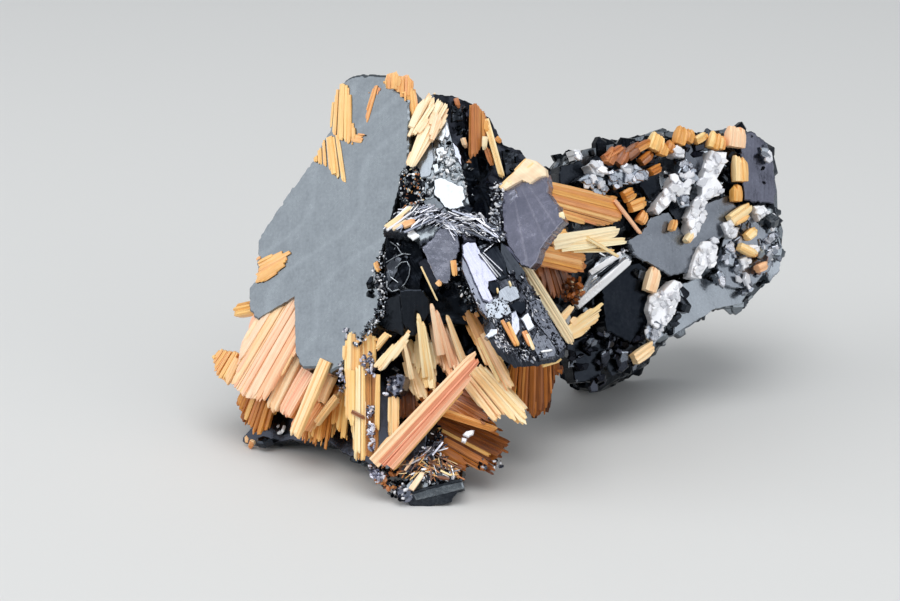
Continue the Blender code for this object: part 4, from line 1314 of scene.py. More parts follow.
heap = Heap()
slab(heap, VIOLET_OUTLINE, VIOLET, deep=1.5, tone=fan_lines, tint=1.0, step=1.2, rings=36, swell=0.02,
     swells=(60, 10), lines=0.03)
facets(heap, VIOLET, [
    (((503, 244), (510, 246), (524, 264), (514, 262), (506, 254)), 0.1, 0.5, 1.0),
    (((506, 190), (514, 186), (518, 196), (510, 204)), -0.04, 0.6, 0.8),
], deep=0.4, swell=0.03)
crumbs(heap, VIOLET_RIM, VIOLET, size=0.19, mix=FLAKES, behind=(-0.4, 0.2), cover=2.0, tint=0.3)
piece("violet_plate", heap, "hematite", ["hematite_violet_plate"], smooth=24)

# %% [markdown]
# ## The cream wedge
#
# A cream wedge of rutile lies along the top of the violet plate. A slab gives it its bright even body,
# and a thin sheaf over it gives the streaks.

# %% Cream wedge
CAP = ((501, 187), (514, 171), (526, 158), (535, 160), (545, 168), (546, 175), (538, 177), (530, 183),
       (522, 179), (505, 189))
heap = Heap()
slab(heap, CAP, VIOLET, deep=0.8, tone=0.94, tint=0.8, behind=-0.5, step=1.5, swell=0.05, swells=(24, 8),
     chip=0.3, turn=0.9)
sheaf(heap, CAP, (482, 204), VIOLET, width=0.2, deep=0.9, tone=0.88, tint=0.1, ragged=0.08, layers=2,
      behind=-0.38, wild=0.04)
piece("cap", heap, "rutile", ["rutile_cap"])

# %% [markdown]
# ## The dark plate
#
# Behind the crest stands a dark plate with a broken face. One slab with strong swells carries it, a few
# facets give it its edges, and tablets roughen the parts where the photograph shows crust.

# %% Dark plate
DARK_OUTLINE = (
    (420, 104), (432, 94), (450, 95), (458, 97), (472, 103), (490, 118), (500, 135), (504, 145), (520, 150),
    (526, 158), (528, 215), (520, 250), (440, 250), (425, 215), (418, 150),
)
heap = Heap()
slab(heap, DARK_OUTLINE, DARK, deep=2.8, tone=0.07, tint=0.2, swell=0.12, swells=(60, 8), step=1.8,
     rings=30)
# A paler tone on the plate's top left corner is a painted reflection.
heap.paint(((414, 88), (434, 90), (434, 118), (416, 118)), 0.36, 0.3)
facets(heap, DARK, [
    (((452, 104), (464, 106), (463, 120), (452, 122)), -0.2, 0.2, 0.0),
    (((466, 104), (471, 106), (474, 130), (466, 140)), -0.2, 0.06, 0.5),
    (((452, 140), (459, 148), (462, 172), (456, 168)), -0.2, 0.3, 0.5),
    (((464, 150), (490, 160), (494, 220), (468, 212)), -0.1, 0.0, 0.0),
    (((502, 150), (518, 152), (522, 170), (506, 176)), -0.2, 0.15, 0.0),
], deep=0.8, swell=0.1)
for outline, mix in ((((452, 100), (466, 102), (470, 130), (458, 140), (452, 124)), DIM),
                     (((500, 144), (518, 156), (520, 174), (512, 172), (502, 160)), DIM),
                     (((464, 160), (476, 164), (480, 208), (470, 204)), ((0.02, 0.8), (0.4, 0.2)))):
    crumbs(heap, outline, DARK, size=0.3, mix=mix, behind=(-0.3, 0.1), cover=1.0)
piece("top_plate", heap, "hematite", ["hematite_top_plate"], smooth=24)

# %% [markdown]
# ## The crest
#
# A pink bundle leans down from the top right corner of the main plate. Three sheaves overlap, each with
# its own focus, because the real bundle forks.

# %% Crest
CREST = Lean(430, 125, 3.5, right=0.1, up=0.45)
heap = Heap()
sheaf(heap, ((409, 166), (407, 162), (420, 134), (430, 110), (434, 89), (446, 92), (452, 104), (447, 118),
             (434, 138), (422, 152), (413, 168)), (399, 190), CREST, width=0.2, deep=1.5, tone=0.92,
      tint=0.5, ragged=0.14)
sheaf(heap, ((409, 135), (412, 124), (424, 98), (430, 90), (436, 104), (422, 130)), (396, 160), CREST,
      width=0.19, deep=1.0, tone=0.9, tint=0.5, ragged=0.1, layers=2, behind=-0.2)
sheaf(heap, ((434, 110), (441, 112), (442, 124), (432, 140), (430, 130)), (420, 170), CREST, width=0.19,
      deep=0.6, tone=0.86, tint=0.7, ragged=0.1, layers=1, behind=-0.3)
piece("crest", heap, "rutile", ["rutile_crest"])

# %% [markdown]
# ## The golden knobs
#
# Along the upper edge of the main plate sit three golden knobs. They are blurred in the photograph, so
# each is a short sheaf that fills its outline, and nothing finer is made up.

# %% Top strip
TOP_STRIP = Lean(400, 90, 4.0, up=0.1)
heap = Heap()
for outline, focus in (
    (((385, 82), (387, 73), (396, 70), (400, 78), (396, 88), (388, 88)), (389, 140)),
    (((396, 88), (398, 76), (408, 73), (413, 82), (412, 94), (402, 96)), (403, 160)),
    (((403, 92), (412, 88), (417, 100), (416, 118), (410, 118)), (404, 0)),
):
    sheaf(heap, outline, focus, TOP_STRIP, width=0.22, deep=1.3, tone=0.7, tint=0.2, ragged=0.08)
piece("top_strip", heap, "rutile", ["rutile_top_strip"])

# %% [markdown]
# ## The blades behind the crest
#
# Orange blades stand up from the dark plate in thin wedges. The two wedges are sheaves, and the blades
# that stand alone are laid one by one.

# %% Top blades
BEHIND_CREST = Lean(480, 130, 4.5, right=0.1, up=0.1)
heap = Heap()
sheaf(heap, ((471, 107), (474, 104), (483, 112), (488, 126), (485, 144), (474, 158), (468, 163),
             (478, 134)), (476, -200), BEHIND_CREST, width=0.17, deep=0.9, tone=0.48, ragged=0.1)
sheaf(heap, ((484, 146), (489, 150), (494, 166), (490, 164)), (470, 100), BEHIND_CREST, width=0.14,
      deep=0.5, tone=0.5, layers=2)
one_blade(heap, (486, 119, 4.8), (503, 180, 4.0), width=0.38, thick=0.5, tone=0.88, tint=0.05,
          tip_width=0.9)
for root, tip, width, tone, tint in (
    ((485, 136, 4.1), (484, 150, 4.1), 0.34, 0.95, 0.3),
    ((463, 138, 4.8), (466, 148, 4.7), 0.32, 0.9, 0.7),
    ((496, 137, 4.6), (501, 142, 4.6), 0.3, 0.5, 0.0),
    ((456, 98, 5.0), (459, 108, 4.9), 0.3, 0.4, 0.2),
):
    one_blade(heap, root, tip, width, thick=0.5, tone=tone, tint=tint, strands=2)
piece("top_blades", heap, "rutile", ["rutile_top_blades"])

# %% [markdown]
# ## The bridge
#
# Orange bundles reach from the violet plate to the group at the right. The upper one is a single sheaf.
# Under it lie pale blades that are placed one by one, and sheaves that fill the space below them.

# %% Bridge
BRIDGE = Lean(540, 205, 4.4, right=1.0, up=0.05)
BELOW = Lean(545, 245, 3.7, right=1.1, up=0.05)
heap = Heap()
sheaf(heap, ((538, 186), (552, 184), (576, 190), (616, 198), (623, 206), (623, 219), (606, 226), (575, 220),
             (552, 212)), (40, 60), BRIDGE, width=0.17, deep=1.7, tone=0.66, tint=0.15, ragged=0.06,
      layers=4, wild=0.11)
piece("bridge_upper", heap, "rutile", ["rutile_bridge_upper"])
heap = Heap()
for root, tip, width, tone, tint in (
    ((552, 242, 4.3), (619, 230, 7.7), 0.95, 1.0, 0.4),
    ((560, 247, 4.7), (627, 240, 7.8), 0.6, 0.98, 0.2),
    ((572, 250, 5.4), (614, 250, 7.4), 0.3, 0.95, 0.1),
    ((560, 236, 5.0), (600, 246, 6.6), 0.3, 0.8, 0.1),
    ((588, 238, 5.6), (618, 256, 7.4), 0.26, 0.88, 0.1),
):
    one_blade(heap, root, tip, width, thick=0.5, tone=tone, tint=tint, tip_width=0.5)
sheaf(heap, ((524, 228), (560, 226), (570, 232), (556, 242), (524, 246)), (300, 226), BELOW, width=0.19,
      deep=1.2, tone=0.7, tint=0.1, wild=0.08, behind=-0.1)
sheaf(heap, ((512, 240), (567, 249), (590, 257), (587, 271), (573, 272), (512, 258)), (240, 190), BELOW,
      width=0.19, deep=1.6, tone=0.58, tint=0.1, layers=4, wild=0.1)
# This dark sheaf below is painted shade under the bridge.
sheaf(heap, ((534, 264), (560, 268), (570, 280), (562, 300), (548, 298)), (500, 100), BELOW, width=0.36,
      deep=1.4, tone=0.24, tint=0.1, ragged=0.2, layers=2, behind=1.6)
piece("bridge_lower", heap, "rutile", ["rutile_bridge_lower"])

# %% [markdown]
# ## The two cream blades
#
# Two cream blades meet like a V. The left one is a single stout blade of four strands, and the right one
# is a sheaf, because its blades spread.

# %% Vee
heap = Heap()
one_blade(heap, (522, 262, 2.6), (573, 343, 4.3), width=0.66, thick=0.5, tone=0.97, tint=0.4, strands=4,
          tip_width=0.95)
sheaf(heap, ((562, 334), (574, 320), (588, 310), (606, 300), (600, 318), (584, 332), (570, 338)),
      (540, 352), Lean(566, 332, 4.15, right=1.0), width=0.19, deep=0.8, tone=0.86, tint=0.2, ragged=0.15)
one_blade(heap, (560, 320, 4.4), (572, 306, 5.0), width=0.5, thick=0.6, tone=0.88, tint=0.3)
one_blade(heap, (615, 200, 9.4), (641, 234, 10.8), width=0.24, thick=0.3, tone=0.82, tint=0.9, strands=2,
          tip_width=0.8)
piece("vee", heap, "rutile", ["rutile_vee"])

# %% [markdown]
# ## The silver blade
#
# One blade of hematite is so bright that it looks silver, and that brightness is a painted highlight. It
# is a thin slab with laths side by side on it, pale and dark in turn, because its face is stepped along its
# length and each step is painted with the light it catches.

# %% Silver blade
SILVER = Lean(606, 275, 9.8, right=0.3, up=0.45)
heap = Heap()
facets(heap, SILVER, [
    (((601, 256), (624, 251), (633, 256), (630, 264), (610, 281), (585, 302), (576, 308), (574, 304),
      (586, 288), (589, 272)), 0.1, 0.62, 0.1),
], deep=1.0, swell=0.03, lines=0.3, turn=-0.85)
for root, tip, behind, width, tone in (
    ((577, 306), (632, 258), -0.3, 0.44, 0.97), ((582, 297), (627, 257), -0.12, 0.3, 0.62),
    ((590, 273), (622, 253), -0.2, 0.34, 0.97), ((589, 282), (616, 259), -0.1, 0.24, 0.7),
    ((598, 275), (620, 259), -0.28, 0.14, 0.03), ((579, 300), (592, 274), -0.15, 0.3, 0.66),
):
    lath(heap, SILVER, root, tip, behind, width, thick=0.25, tone=tone, tint=0.05, strands=2)
crumbs(heap, ((618, 240), (626, 240), (630, 252), (622, 252)), SILVER, size=0.3,
       mix=((0.6, 0.5), (0.9, 0.5)), behind=(-0.3, 0.1), tint=0.5)
piece("silver_blade", heap, "hematite", ["hematite_silver_blade"], smooth=24)

# %% [markdown]
# ## The brown knob
#
# Between the silver blade and the cream blades sits a red-brown knob with a few sparks, which are painted
# highlights. It has no form of its own in the photograph, so it is a heap of brown tablets.

# %% Brown knob
KNOB_MIX = ((0.12, 0.45), (0.32, 0.43), (1.0, 0.12))
BEHIND_VEE = Lean(573, 292, 7.0)
heap = Heap()
crumbs(heap, ((561, 284), (568, 277), (580, 279), (583, 292), (576, 304), (564, 302)), BEHIND_VEE,
       size=0.36, mix=KNOB_MIX, behind=(-0.5, 0.8), cover=4.5, flat=0.2, tint=0.2)
piece("brown_knob", heap, "brown_rutile")

# %% [markdown]
# ## The group at the right
#
# The far group is a pile of hematite blocks with pale ridges across it and a crumbly rim. Its solid stays
# as the heart of the pile. Blocks and tablets cover it from every side, black on its left and underside as
# painted shade, and grey at its right. Each ridge that the photograph shows is a slab with tablets lying
# flat on it, and their white is a painted highlight.

# %% Ridges and crust
PALE_RIDGES = (
    ((712, 150), (727, 152), (725, 164), (717, 178), (723, 186), (720, 195), (707, 199), (703, 216),
     (696, 232), (688, 236), (690, 222), (687, 216), (692, 206), (702, 194), (702, 180), (708, 162)),
    ((676, 174), (683, 181), (692, 186), (690, 194), (678, 192), (668, 206), (660, 213), (654, 210),
     (657, 202), (668, 188)),
    ((704, 240), (714, 240), (719, 248), (714, 262), (706, 268), (699, 278), (691, 276), (693, 264),
     (698, 250)),
    ((674, 280), (681, 282), (679, 300), (672, 318), (662, 330), (654, 330), (648, 308), (652, 294),
     (664, 290)),
    ((589, 165), (598, 160), (608, 168), (605, 176), (594, 174)),
    ((574, 150), (580, 148), (584, 156), (577, 159)),
    ((671, 148), (678, 144), (686, 152), (684, 157), (676, 156)),
    ((754, 206), (765, 204), (769, 212), (760, 220)),
    ((723, 224), (730, 220), (738, 232), (736, 238), (729, 236)),
    ((740, 258), (748, 256), (750, 266), (744, 269)),
    ((748, 244), (758, 244), (761, 250), (754, 254)),
)
BLUE_RIDGES = (
    ((608, 172), (622, 168), (640, 166), (647, 172), (645, 180), (634, 184), (622, 184), (616, 190),
     (610, 182)),
    ((578, 180), (588, 173), (604, 178), (604, 185), (590, 186)),
    ((592, 188), (604, 186), (606, 194), (594, 194)),
    ((687, 158), (694, 170), (701, 180), (694, 183), (684, 180), (678, 172)),
    ((676, 196), (690, 197), (690, 206), (680, 207)),
    ((715, 274), (722, 270), (727, 276), (722, 282)),
    ((646, 326), (656, 322), (664, 334), (654, 344), (646, 338)),
    ((760, 146), (768, 148), (772, 160), (766, 162)),
    ((726, 246), (736, 250), (734, 266), (724, 262)),
)
# White tones that paint the highlights of the pale ridges.
HIGHLIGHT_WHITE = ((1.0, 0.6), (0.88, 0.4))
BLUISH = ((0.5, 0.35), (0.62, 0.3), (0.84, 0.35))
GREYISH = ((0.42, 0.35), (0.58, 0.35), (0.86, 0.3))


def at_left(px, py):
    """True left of pixel 650, where the photograph shows the group nearly black."""
    return px < 650


def at_right(px, py):
    """True right of pixel 645, where the blocks are grey."""
    return px > 645


heap = Heap()
# Tablets left of pixel 650 are black, painted shade on the group's dark side, and those right of it are
# grey.
skin(heap, "hematite_right_body", count=1200, size=1.2, mix=BLACK, flat=3.0, sink=0.3, keep=at_left)
skin(heap, "hematite_right_body", count=1300, size=1.2, mix=BLOCKS, flat=4.0, sink=0.35, keep=at_right)
skin(heap, "hematite_right_body", count=900, size=0.5, flat=1.2, sink=0.05)
for outlines, mix in ((PALE_RIDGES, HIGHLIGHT_WHITE), (BLUE_RIDGES, BLUISH)):
    for outline in outlines:
        slab(heap, outline, RIGHT, deep=1.2, tone=mix[0][0], tint=0.2, behind=-1.15, step=2.0, rings=8,
             swell=0.02, swells=(24, 10), chip=0.7)
        crumbs(heap, outline, RIGHT, size=0.5, mix=mix, behind=(-1.4, -1.1), cover=2.2, flat=3.5, tint=0.3,
               sides=6, stretch=1.2)
for outline, size, mix, level in (
    (((726, 206), (776, 207), (782, 254), (766, 284), (744, 296), (730, 262)), 0.5, GREYISH, -0.8),
    # Black crumbs under the group are painted shade.
    (((565, 338), (600, 330), (650, 330), (640, 362), (600, 388), (574, 384)), 0.6, BLACK, -0.3),
    (((748, 136), (768, 142), (776, 186), (768, 200), (760, 168)), 0.4, DIM, -0.8),
    (((600, 150), (640, 142), (680, 136), (716, 140), (690, 160), (640, 162), (604, 162)), 0.6, DIM, -0.6),
):
    crumbs(heap, outline, RIGHT, size, mix, behind=(level, 0.1), cover=1.4, flat=1.5, tint=0.3)
piece("right_crust", heap, "hematite")

# %% [markdown]
# ## The grey faces
#
# A blue-grey plate lies in the hollow of the group, with darker faces round it and a violet-grey plate at
# the far right. Each is a slab of its own tone, and most are pushed forward to stand clear of the tablets.
# The black faces at the lower left are painted shade, where the group hangs over.

# %% Grey faces and the far plate
GREY_FACES = [
    (((627, 240), (640, 233), (652, 216), (668, 211), (672, 238), (687, 238), (696, 226), (706, 203),
      (728, 195), (738, 206), (730, 226), (718, 242), (700, 256), (688, 272), (671, 275), (654, 266),
      (636, 257)), -0.7, 0.35, 0.2),
    (((738, 206), (758, 222), (776, 240), (770, 270), (748, 290), (720, 284), (716, 262), (724, 236)), -0.4,
     0.42, 0.2),
    (((680, 284), (700, 276), (720, 284), (750, 290), (742, 303), (716, 308), (690, 324), (674, 334)), 0.0,
     0.44, 0.1),
    (((768, 216), (777, 226), (783, 248), (780, 270), (770, 282), (762, 262), (764, 240)), -0.3, 0.5, 0.1),
    (((640, 160), (658, 156), (662, 190), (650, 200), (640, 186)), -0.3, 0.03, 0.0),
    (((668, 190), (690, 196), (690, 214), (678, 224), (668, 210)), -0.3, 0.08, 0.0),
    (((688, 142), (704, 146), (704, 168), (692, 174), (684, 158)), -0.4, 0.3, 0.2),
    (((560, 166), (580, 160), (592, 176), (606, 190), (580, 190), (560, 184)), 0.2, 0.08, 0.0),
    (((600, 268), (640, 262), (656, 276), (650, 320), (630, 342), (606, 330)), -0.5, 0.02, 0.0),
    # These two near-black faces are painted shade under the group.
    (((566, 344), (590, 334), (606, 350), (600, 380), (576, 382)), 0.2, 0.06, 0.0),
    (((608, 336), (640, 344), (636, 362), (612, 376), (602, 358)), 0.1, 0.08, 0.0),
]
FAR_PLATE = ((740, 134), (752, 131), (766, 141), (773, 160), (777, 190), (774, 203), (744, 200))
heap = Heap()
for outline, behind, tone, tint in GREY_FACES:
    slab(heap, outline, RIGHT, deep=1.4, tone=tone, tint=tint, behind=behind, step=1.6, rings=26,
         swell=0.05, swells=(90, 22), lines=0.03)
piece("right_plate", heap, "hematite", ["hematite_right_plate"], smooth=24)
heap = Heap()
slab(heap, FAR_PLATE, RIGHT, deep=1.6, tone=0.3, tint=0.7, behind=-0.8, step=1.6, rings=20, swell=0.03,
     swells=(60, 12))
piece("far_plate", heap, "hematite", ["hematite_far_plate"], smooth=24)
leave_bare("hematite_right_body")

# %% [markdown]
# ## The golden blocks
#
# Blocks of rutile sit on the crest of the group and down its face. They are out of focus, so each is a
# short bundle of laths in two layers, as wide and as bright as its blur.

# %% Golden blocks
# Each block has its root and its tip, its width, its tone and its tint.
GOLDEN_CREST = (
    ((608, 163), (614, 148), 0.6, 0.36, 0.3), ((618, 164), (626, 150), 0.7, 0.32, 0.3),
    ((604, 158), (622, 146), 0.4, 0.42, 0.4), ((626, 156), (640, 145), 0.7, 0.34, 0.0),
    ((640, 162), (652, 152), 0.6, 0.38, 0.0), ((634, 150), (650, 141), 0.5, 0.46, 0.0),
    ((653, 150), (658, 135), 0.9, 0.76, 0.0), ((661, 155), (663, 143), 0.6, 0.62, 0.0),
    ((678, 144), (682, 127), 0.7, 0.58, 0.0), ((687, 142), (690, 130), 0.6, 0.64, 0.0),
    ((695, 141), (706, 134), 0.5, 0.74, 0.0), ((712, 148), (716, 133), 0.8, 0.66, 0.0),
    ((720, 149), (722, 136), 0.4, 0.72, 0.1), ((735, 147), (736, 127), 1.3, 0.9, 0.8),
    ((668, 152), (671, 141), 0.5, 0.5, 0.0),
)
GOLDEN_STRIP = (
    ((740, 181), (739, 156), 0.95, 0.84, 0.15), ((736, 201), (736, 185), 0.6, 0.66, 0.0),
    ((730, 220), (749, 206), 0.7, 0.85, 0.1), ((734, 222), (748, 214), 0.5, 0.8, 0.1),
    ((746, 237), (755, 229), 0.5, 0.8, 0.0), ((739, 246), (756, 255), 0.5, 0.78, 0.1),
    ((757, 269), (767, 264), 0.5, 0.8, 0.7), ((624, 197), (634, 191), 0.8, 0.56, 0.0),
    ((630, 207), (645, 201), 0.7, 0.6, 0.0), ((640, 222), (645, 212), 0.6, 0.64, 0.2),
    ((671, 230), (674, 220), 0.3, 0.7, 0.1), ((686, 241), (691, 233), 0.4, 0.86, 0.2),
    ((649, 291), (655, 268), 0.8, 0.92, 0.7), ((634, 359), (652, 346), 0.7, 0.92, 0.4),
    ((650, 172), (660, 166), 0.5, 0.4, 0.0),
)
for name, rows, behind in (("right_crest", GOLDEN_CREST, -0.8), ("right_strip", GOLDEN_STRIP, -1.2)):
    heap = Heap()
    for root, tip, width, tone, tint in rows:
        strands = max(2, round(width / 0.3))
        lath(heap, RIGHT, root, tip, behind, width, thick=0.8, tone=tone, tint=tint, strands=strands)
        # The back layer is a tenth darker, as painted shade.
        lath(heap, RIGHT, root, tip, behind=behind + 0.5, width=width, thick=0.8, tone=tone - 0.1,
             tint=tint, strands=strands, tip_width=0.7)
    piece(name, heap, "rutile", ["rutile_" + name])

# %% [markdown]
# ## The foot
#
# The cluster rests at the front on one dark crystal with a crumbly crust. Its front and its top are two
# slabs that meet at an edge, and needles and tablets of hematite lie over them.

# %% Foot crystal
FOOT = Lean(430, 496, 0.2, right=-0.05, up=-0.1)
FOOT_TOP = Lean(435, 478, 0.5, right=-0.1, up=0.55)
LEFT_OF_FOOT = Lean(390, 480, 1.0, right=-0.3, up=0.3)
BROWN = Lean(470, 450, 1.9, right=-0.1, up=0.35)
heap = Heap()
slab(heap, ((404, 494), (413, 510), (451, 502), (463, 484), (461, 478), (440, 483), (420, 488)), FOOT,
     deep=3.6, tone=0.26, step=1.5, rings=16, swell=0.02, swells=(40, 8))
slab(heap, ((420, 470), (440, 466), (462, 476), (440, 483), (418, 489), (404, 492), (404, 486)), FOOT_TOP,
     deep=2.2, tone=0.36, step=1.5, rings=12, swell=0.03, swells=(30, 6))
facets(heap, FOOT, [
    (((412, 494), (434, 487), (463, 481), (464, 488), (450, 492), (416, 500)), -0.1, 0.4, 0.0),
    (((398, 488), (411, 490), (412, 500), (405, 502), (398, 496)), -0.2, 0.5, 0.6),
], deep=0.6, swell=0.03)
crumbs(heap, ((374, 466), (404, 470), (410, 490), (400, 500), (388, 494), (376, 478)), LEFT_OF_FOOT,
       size=0.3, mix=DIM, behind=(-0.3, 0.9), cover=2.0, flat=0.3)
for outline in (
    ((388, 484), (404, 482), (412, 494), (402, 502)),
    ((418, 468), (452, 468), (462, 480), (440, 484), (424, 486)),
    ((424, 440), (440, 424), (448, 440), (440, 458), (420, 462)),
):
    crumbs(heap, outline, FOOT_TOP, size=0.22, behind=(-0.3, 0.2), tint=0.3)
# Two small bright facets here are a painted glint.
facets(heap, Lean(468, 432, 0.7, up=0.4), [
    (((462, 434), (466, 430), (475, 429), (473, 434), (468, 437)), 0.0, 0.92, 0.5),
    (((462, 437), (467, 438), (465, 442), (461, 441)), 0.1, 0.9, 0.6),
], deep=0.3, swell=0.02)
needles(heap, ((408, 462), (436, 442), (444, 448), (420, 462)), FOOT_TOP, count=36, length=0.9, width=0.1,
        mix=((0.3, 0.4), (0.62, 0.4), (0.9, 0.2)), angle=0.6, spread=0.5, behind=(-0.5, -0.1), tint=0.6)
needles(heap, ((400, 466), (420, 458), (444, 454), (460, 468), (450, 480), (420, 480)), FOOT_TOP, count=60,
        length=0.5, width=0.09, mix=SPARKLE, angle=-0.6, spread=1.2, behind=(-0.55, -0.2), tint=0.2)
for outline in (
    ((474, 457), (487, 457), (486, 468), (478, 467)), ((491, 459), (504, 459), (502, 466), (494, 467)),
):
    crumbs(heap, outline, BROWN, size=0.2, behind=(-0.1, 0.2), tint=0.4)
piece("foot_crystal", heap, "hematite", ["hematite_foot_crystal"], smooth=24)

# %% [markdown]
# ## The olive needles
#
# The top of the foot is matted with fine olive needles of rutile, and two pale blades lean on it. The
# needles are scattered, because only their direction and their colour can be seen.

# %% Needles on the foot
OLIVE = ((0.22, 0.3), (0.42, 0.35), (0.62, 0.2), (0.9, 0.15))
heap = Heap()
for outline, count, angle in (
    (((396, 466), (420, 456), (436, 460), (424, 474), (404, 476)), 40, 0.5),
    (((420, 462), (440, 452), (458, 464), (462, 478), (440, 480), (424, 476)), 70, -0.8),
):
    needles(heap, outline, FOOT_TOP, count, length=0.75, width=0.07, mix=OLIVE, angle=angle, spread=0.8,
            behind=(-0.5, -0.1))
for root, tip, width in (((411, 489), (424, 471), 0.36), ((405, 470), (414, 458), 0.14)):
    lath(heap, FOOT_TOP, root, tip, behind=-0.5, width=width, thick=0.2, tone=0.86, tint=0.8, strands=2,
         tip_width=0.6)
crumbs(heap, ((368, 462), (392, 468), (402, 486), (390, 492), (376, 480)), LEFT_OF_FOOT, size=0.3,
       mix=((0.2, 0.4), (0.45, 0.6)), behind=(-0.4, 0.2), cover=0.9, tint=0.3)
crumbs(heap, KNOB_OUTLINE, KNOB, size=0.13, mix=((0.3, 0.5), (0.5, 0.3), (0.95, 0.2)), behind=(-0.35, -0.1),
       cover=0.22, tint=0.2)
piece("foot_needles", heap, "rutile")

# %% [markdown]
# ## The front spray
#
# A wide golden spray fans out below the middle. Seven outlines follow its bundles, a darker sheaf fills
# the space behind them, and the six blades with the sharpest edges are laid over them one by one.

# %% Front spray
SPRAY = Lean(450, 370, 1.6, right=-0.3, up=0.36)
# Each bundle has its outline, its focus, how far it lies behind the lean, its tone and its tint.
SPRAY_PARTS = (
    (((402, 345), (410, 340), (416, 356), (424, 378), (428, 400), (418, 402), (410, 380)), (385, 290), 0.0,
     0.84, 0.3),
    (((417, 330), (421, 312), (427, 334), (436, 356), (436, 396), (424, 388), (413, 362)), (416, 262), -0.3,
     0.92, 0.05),
    (((428, 318), (432, 298), (442, 318), (454, 344), (462, 372), (452, 386), (438, 366)), (420, 250), -0.1,
     0.88, 0.7),
    (((440, 318), (447, 316), (457, 346), (474, 368), (466, 378), (452, 352)), (420, 250), 0.3, 0.84, 0.3),
    (((462, 312), (476, 312), (486, 332), (494, 346), (484, 354), (472, 336)), (440, 255), -0.5, 0.62, 0.2),
    (((476, 340), (488, 332), (500, 352), (514, 388), (508, 394), (486, 364)), (440, 255), -0.6, 0.82, 0.2),
    (((456, 372), (468, 374), (482, 366), (508, 386), (528, 410), (529, 428), (518, 424), (508, 414),
      (497, 424), (484, 410), (468, 390)), (320, 190), -0.2, 0.9, 0.35),
)
DEEP_STRANDS = ((404, 378), (440, 384), (474, 392), (500, 428), (470, 424), (430, 410), (408, 404))
heap = Heap()
for outline, focus, level, tone, tint in SPRAY_PARTS:
    sheaf(heap, outline, focus, SPRAY, width=0.19, deep=1.5, tone=tone, tint=tint, ragged=0.16,
          behind=level, wild=0.06)
sheaf(heap, DEEP_STRANDS, (330, 330), SPRAY, width=0.22, deep=1.6, tone=0.44, tint=0.2, ragged=0.3,
      behind=0.8, wild=0.12)
for root, tip, width, tone, tint in (
    ((427, 376, 1.5), (418, 313, 0.5), 0.55, 0.96, 0.1),
    ((433, 386, 1.6), (423, 320, 0.6), 0.4, 0.9, 0.05),
    ((441, 354, 1.4), (431, 301, 0.4), 0.5, 0.88, 0.9),
    ((453, 366, 1.6), (436, 308, 0.6), 0.5, 0.82, 0.9),
    ((468, 374, 1.9), (446, 312, 0.8), 0.5, 0.88, 0.4),
    ((412, 378, 1.4), (404, 340, 0.8), 0.34, 0.9, 0.4),
):
    one_blade(heap, root, tip, width, thick=0.4, tone=tone, tint=tint, tip_width=0.15)
piece("front_spray", heap, "rutile", ["rutile_front_spray"])

# %% [markdown]
# ## The brown sprays
#
# Below the golden spray hangs a brown one, and a second one hangs under the prism. Their blades are dark
# and end raggedly, and both sheaves are several layers deep, so that no gap shows between the ends.

# %% Brown sprays
UNDER_PRISM = Lean(538, 388, 4.8)
heap = Heap()
sheaf(heap, ((440, 412), (468, 410), (492, 420), (506, 432), (511, 442), (509, 456), (503, 464), (494, 478),
             (478, 468), (466, 472), (450, 462), (436, 450)), (150, 275), BROWN, width=0.2, deep=2.2,
      tone=0.4, tint=0.05, ragged=0.35, layers=4, wild=0.14)
one_blade(heap, (444, 412, 1.0), (498, 430, 0.8), width=0.5, thick=0.5, tone=0.55, tint=0.2)
piece("brown_spray", heap, "brown_rutile", ["rutile_brown_spray"])
heap = Heap()
sheaf(heap, ((500, 350), (556, 354), (560, 372), (552, 392), (548, 418), (530, 424), (514, 410),
             (502, 384)), (540, 100), UNDER_PRISM, width=0.24, deep=1.8, tone=0.32, ragged=0.3, wild=0.14)
lath(heap, PRISM, (542, 363), (562, 357), behind=1.0, width=0.4, thick=0.4, tone=0.72, strands=3)
piece("far_brown_spray", heap, "brown_rutile", ["rutile_far_brown_spray"])

# %% [markdown]
# ## Small bits of rutile
#
# Single short blades of rutile lie on the faces of the hematite. Each is a lath on the lean of the face
# that carries it, so none of them floats.

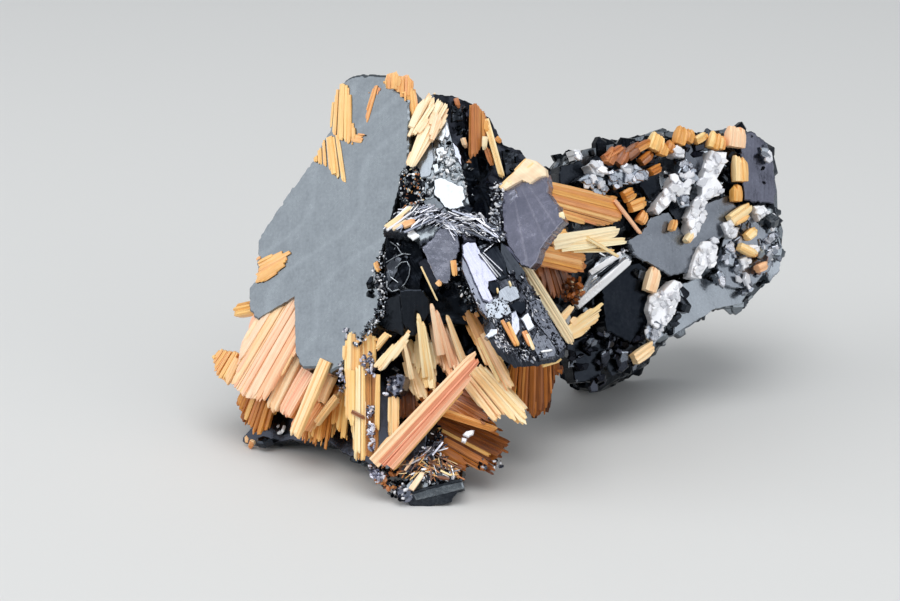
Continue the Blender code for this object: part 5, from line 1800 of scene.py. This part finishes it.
# %% Small rutile bits
NEEDLE = Lean(430, 284, 0.7, right=0.05, up=0.0)
heap = Heap()
for lean, root, tip, behind, width, tone, tint in (
    (NEEDLE, (421, 266), (438, 302), 0.0, 0.1, 0.85, 0.1),
    (LEDGE, (403, 225), (416, 220), -0.55, 0.4, 0.78, 0.5),
    (LEDGE, (386, 227), (404, 214), -0.5, 0.3, 0.96, 0.3),
    (LEDGE, (400, 216), (412, 206), -0.5, 0.2, 0.95, 0.4),
    (LEDGE, (393, 229), (407, 220), -0.5, 0.16, 0.95, 0.6),
    (FACE, (453, 260), (455, 276), -0.1, 0.34, 0.66, 0.2),
    (FACE, (437, 281), (441, 285), -0.2, 0.3, 0.7, 0.4),
    (PRISM, (502, 320), (517, 347), -0.4, 0.2, 0.55, 0.2),
    (PRISM, (508, 322), (519, 346), -0.45, 0.18, 0.74, 0.1),
    (PRISM, (524, 331), (531, 346), -0.4, 0.3, 0.62, 0.4),
    (PRISM, (527, 334), (534, 350), -0.45, 0.2, 0.95, 0.3),
    (VIOLET, (561, 212), (563, 219), 0.1, 0.3, 0.95, 0.1),
    (FRONT, (376, 262), (379, 271), -0.2, 0.3, 0.55, 0.0),
    (PRISM, (497, 288), (498, 293), -0.35, 0.1, 0.85, 0.0),
    (PRISM, (509, 281), (511, 286), -0.3, 0.1, 0.9, 0.0),
):
    lath(heap, lean, root, tip, behind, width, thick=0.25, tone=tone, tint=tint, strands=2, tip_width=0.8)
piece("small_rutile", heap, "rutile")

# %% [markdown]
# ## Behind
#
# The photograph doesn't show the back. A second plate, parallel to the main one, carries the left foot.
# It gets the same swells and tablets as the crystals in sight, and its tablets are sunk so that few of
# them stand out.

# %% Back slab
SLAB_OUTLINE = (
    (360, 84), (402, 92), (425, 130), (428, 220), (432, 330), (428, 420), (422, 480), (390, 470),
    (352, 458), (330, 443), (288, 440), (262, 446), (244, 448), (242, 438), (262, 424), (256, 380),
    (262, 318), (268, 260), (296, 200), (330, 150),
)
heap = Heap()
slab(heap, SLAB_OUTLINE, FRONT, deep=2.6, tone=0.2, tint=0.3, behind=4.1, step=2.5, rings=40, swell=0.08,
     swells=(140, 12), centre=(350, 320))
skin(heap, "hematite_back_slab", count=420, size=0.8, flat=1.4, sink=0.28)
# A few white tablets here are a painted glint.
crumbs(heap, ((272, 428), (283, 424), (286, 431), (274, 433)), FRONT, size=0.4, mix=((1.0, 1.0),),
       behind=(3.4, 3.9), cover=2.0)
piece("back_slab", heap, "hematite", ["hematite_back_slab"], smooth=24)

# %% [markdown]
# ## The rear crystal and the neck
#
# A block behind the second plate and the dark neck behind the bridge are hardly seen. Their solids stay
# in sight, and tablets strewn over them give them the broken skin of the rest.

# %% Rear crystal and neck
for node, name, count, size, flat in (
    ("hematite_rear_crystal", "rear_tablets", 260, 1.0, 1.2),
    ("hematite_neck", "neck_tablets", 320, 0.9, 1.0),
):
    heap = Heap()
    skin(heap, node, count, size, flat=flat)
    piece(name, heap, "hematite")
    leave_bare(node)

# %% [markdown]
# ## The rear fan
#
# Clusters of this kind bear rutile on every side, so one fan of blades lies on the back too. It is a
# sheaf like the others, only further back.

# %% Rear fan
heap = Heap()
sheaf(heap, ((345, 150), (395, 160), (372, 262), (340, 256), (292, 250)), (390, 60), FRONT, width=0.26,
      deep=1.2, tone=0.66, tint=0.2, ragged=0.3, behind=7.7)
piece("rear_fan", heap, "rutile", ["rutile_rear_fan"])

# %% [markdown]
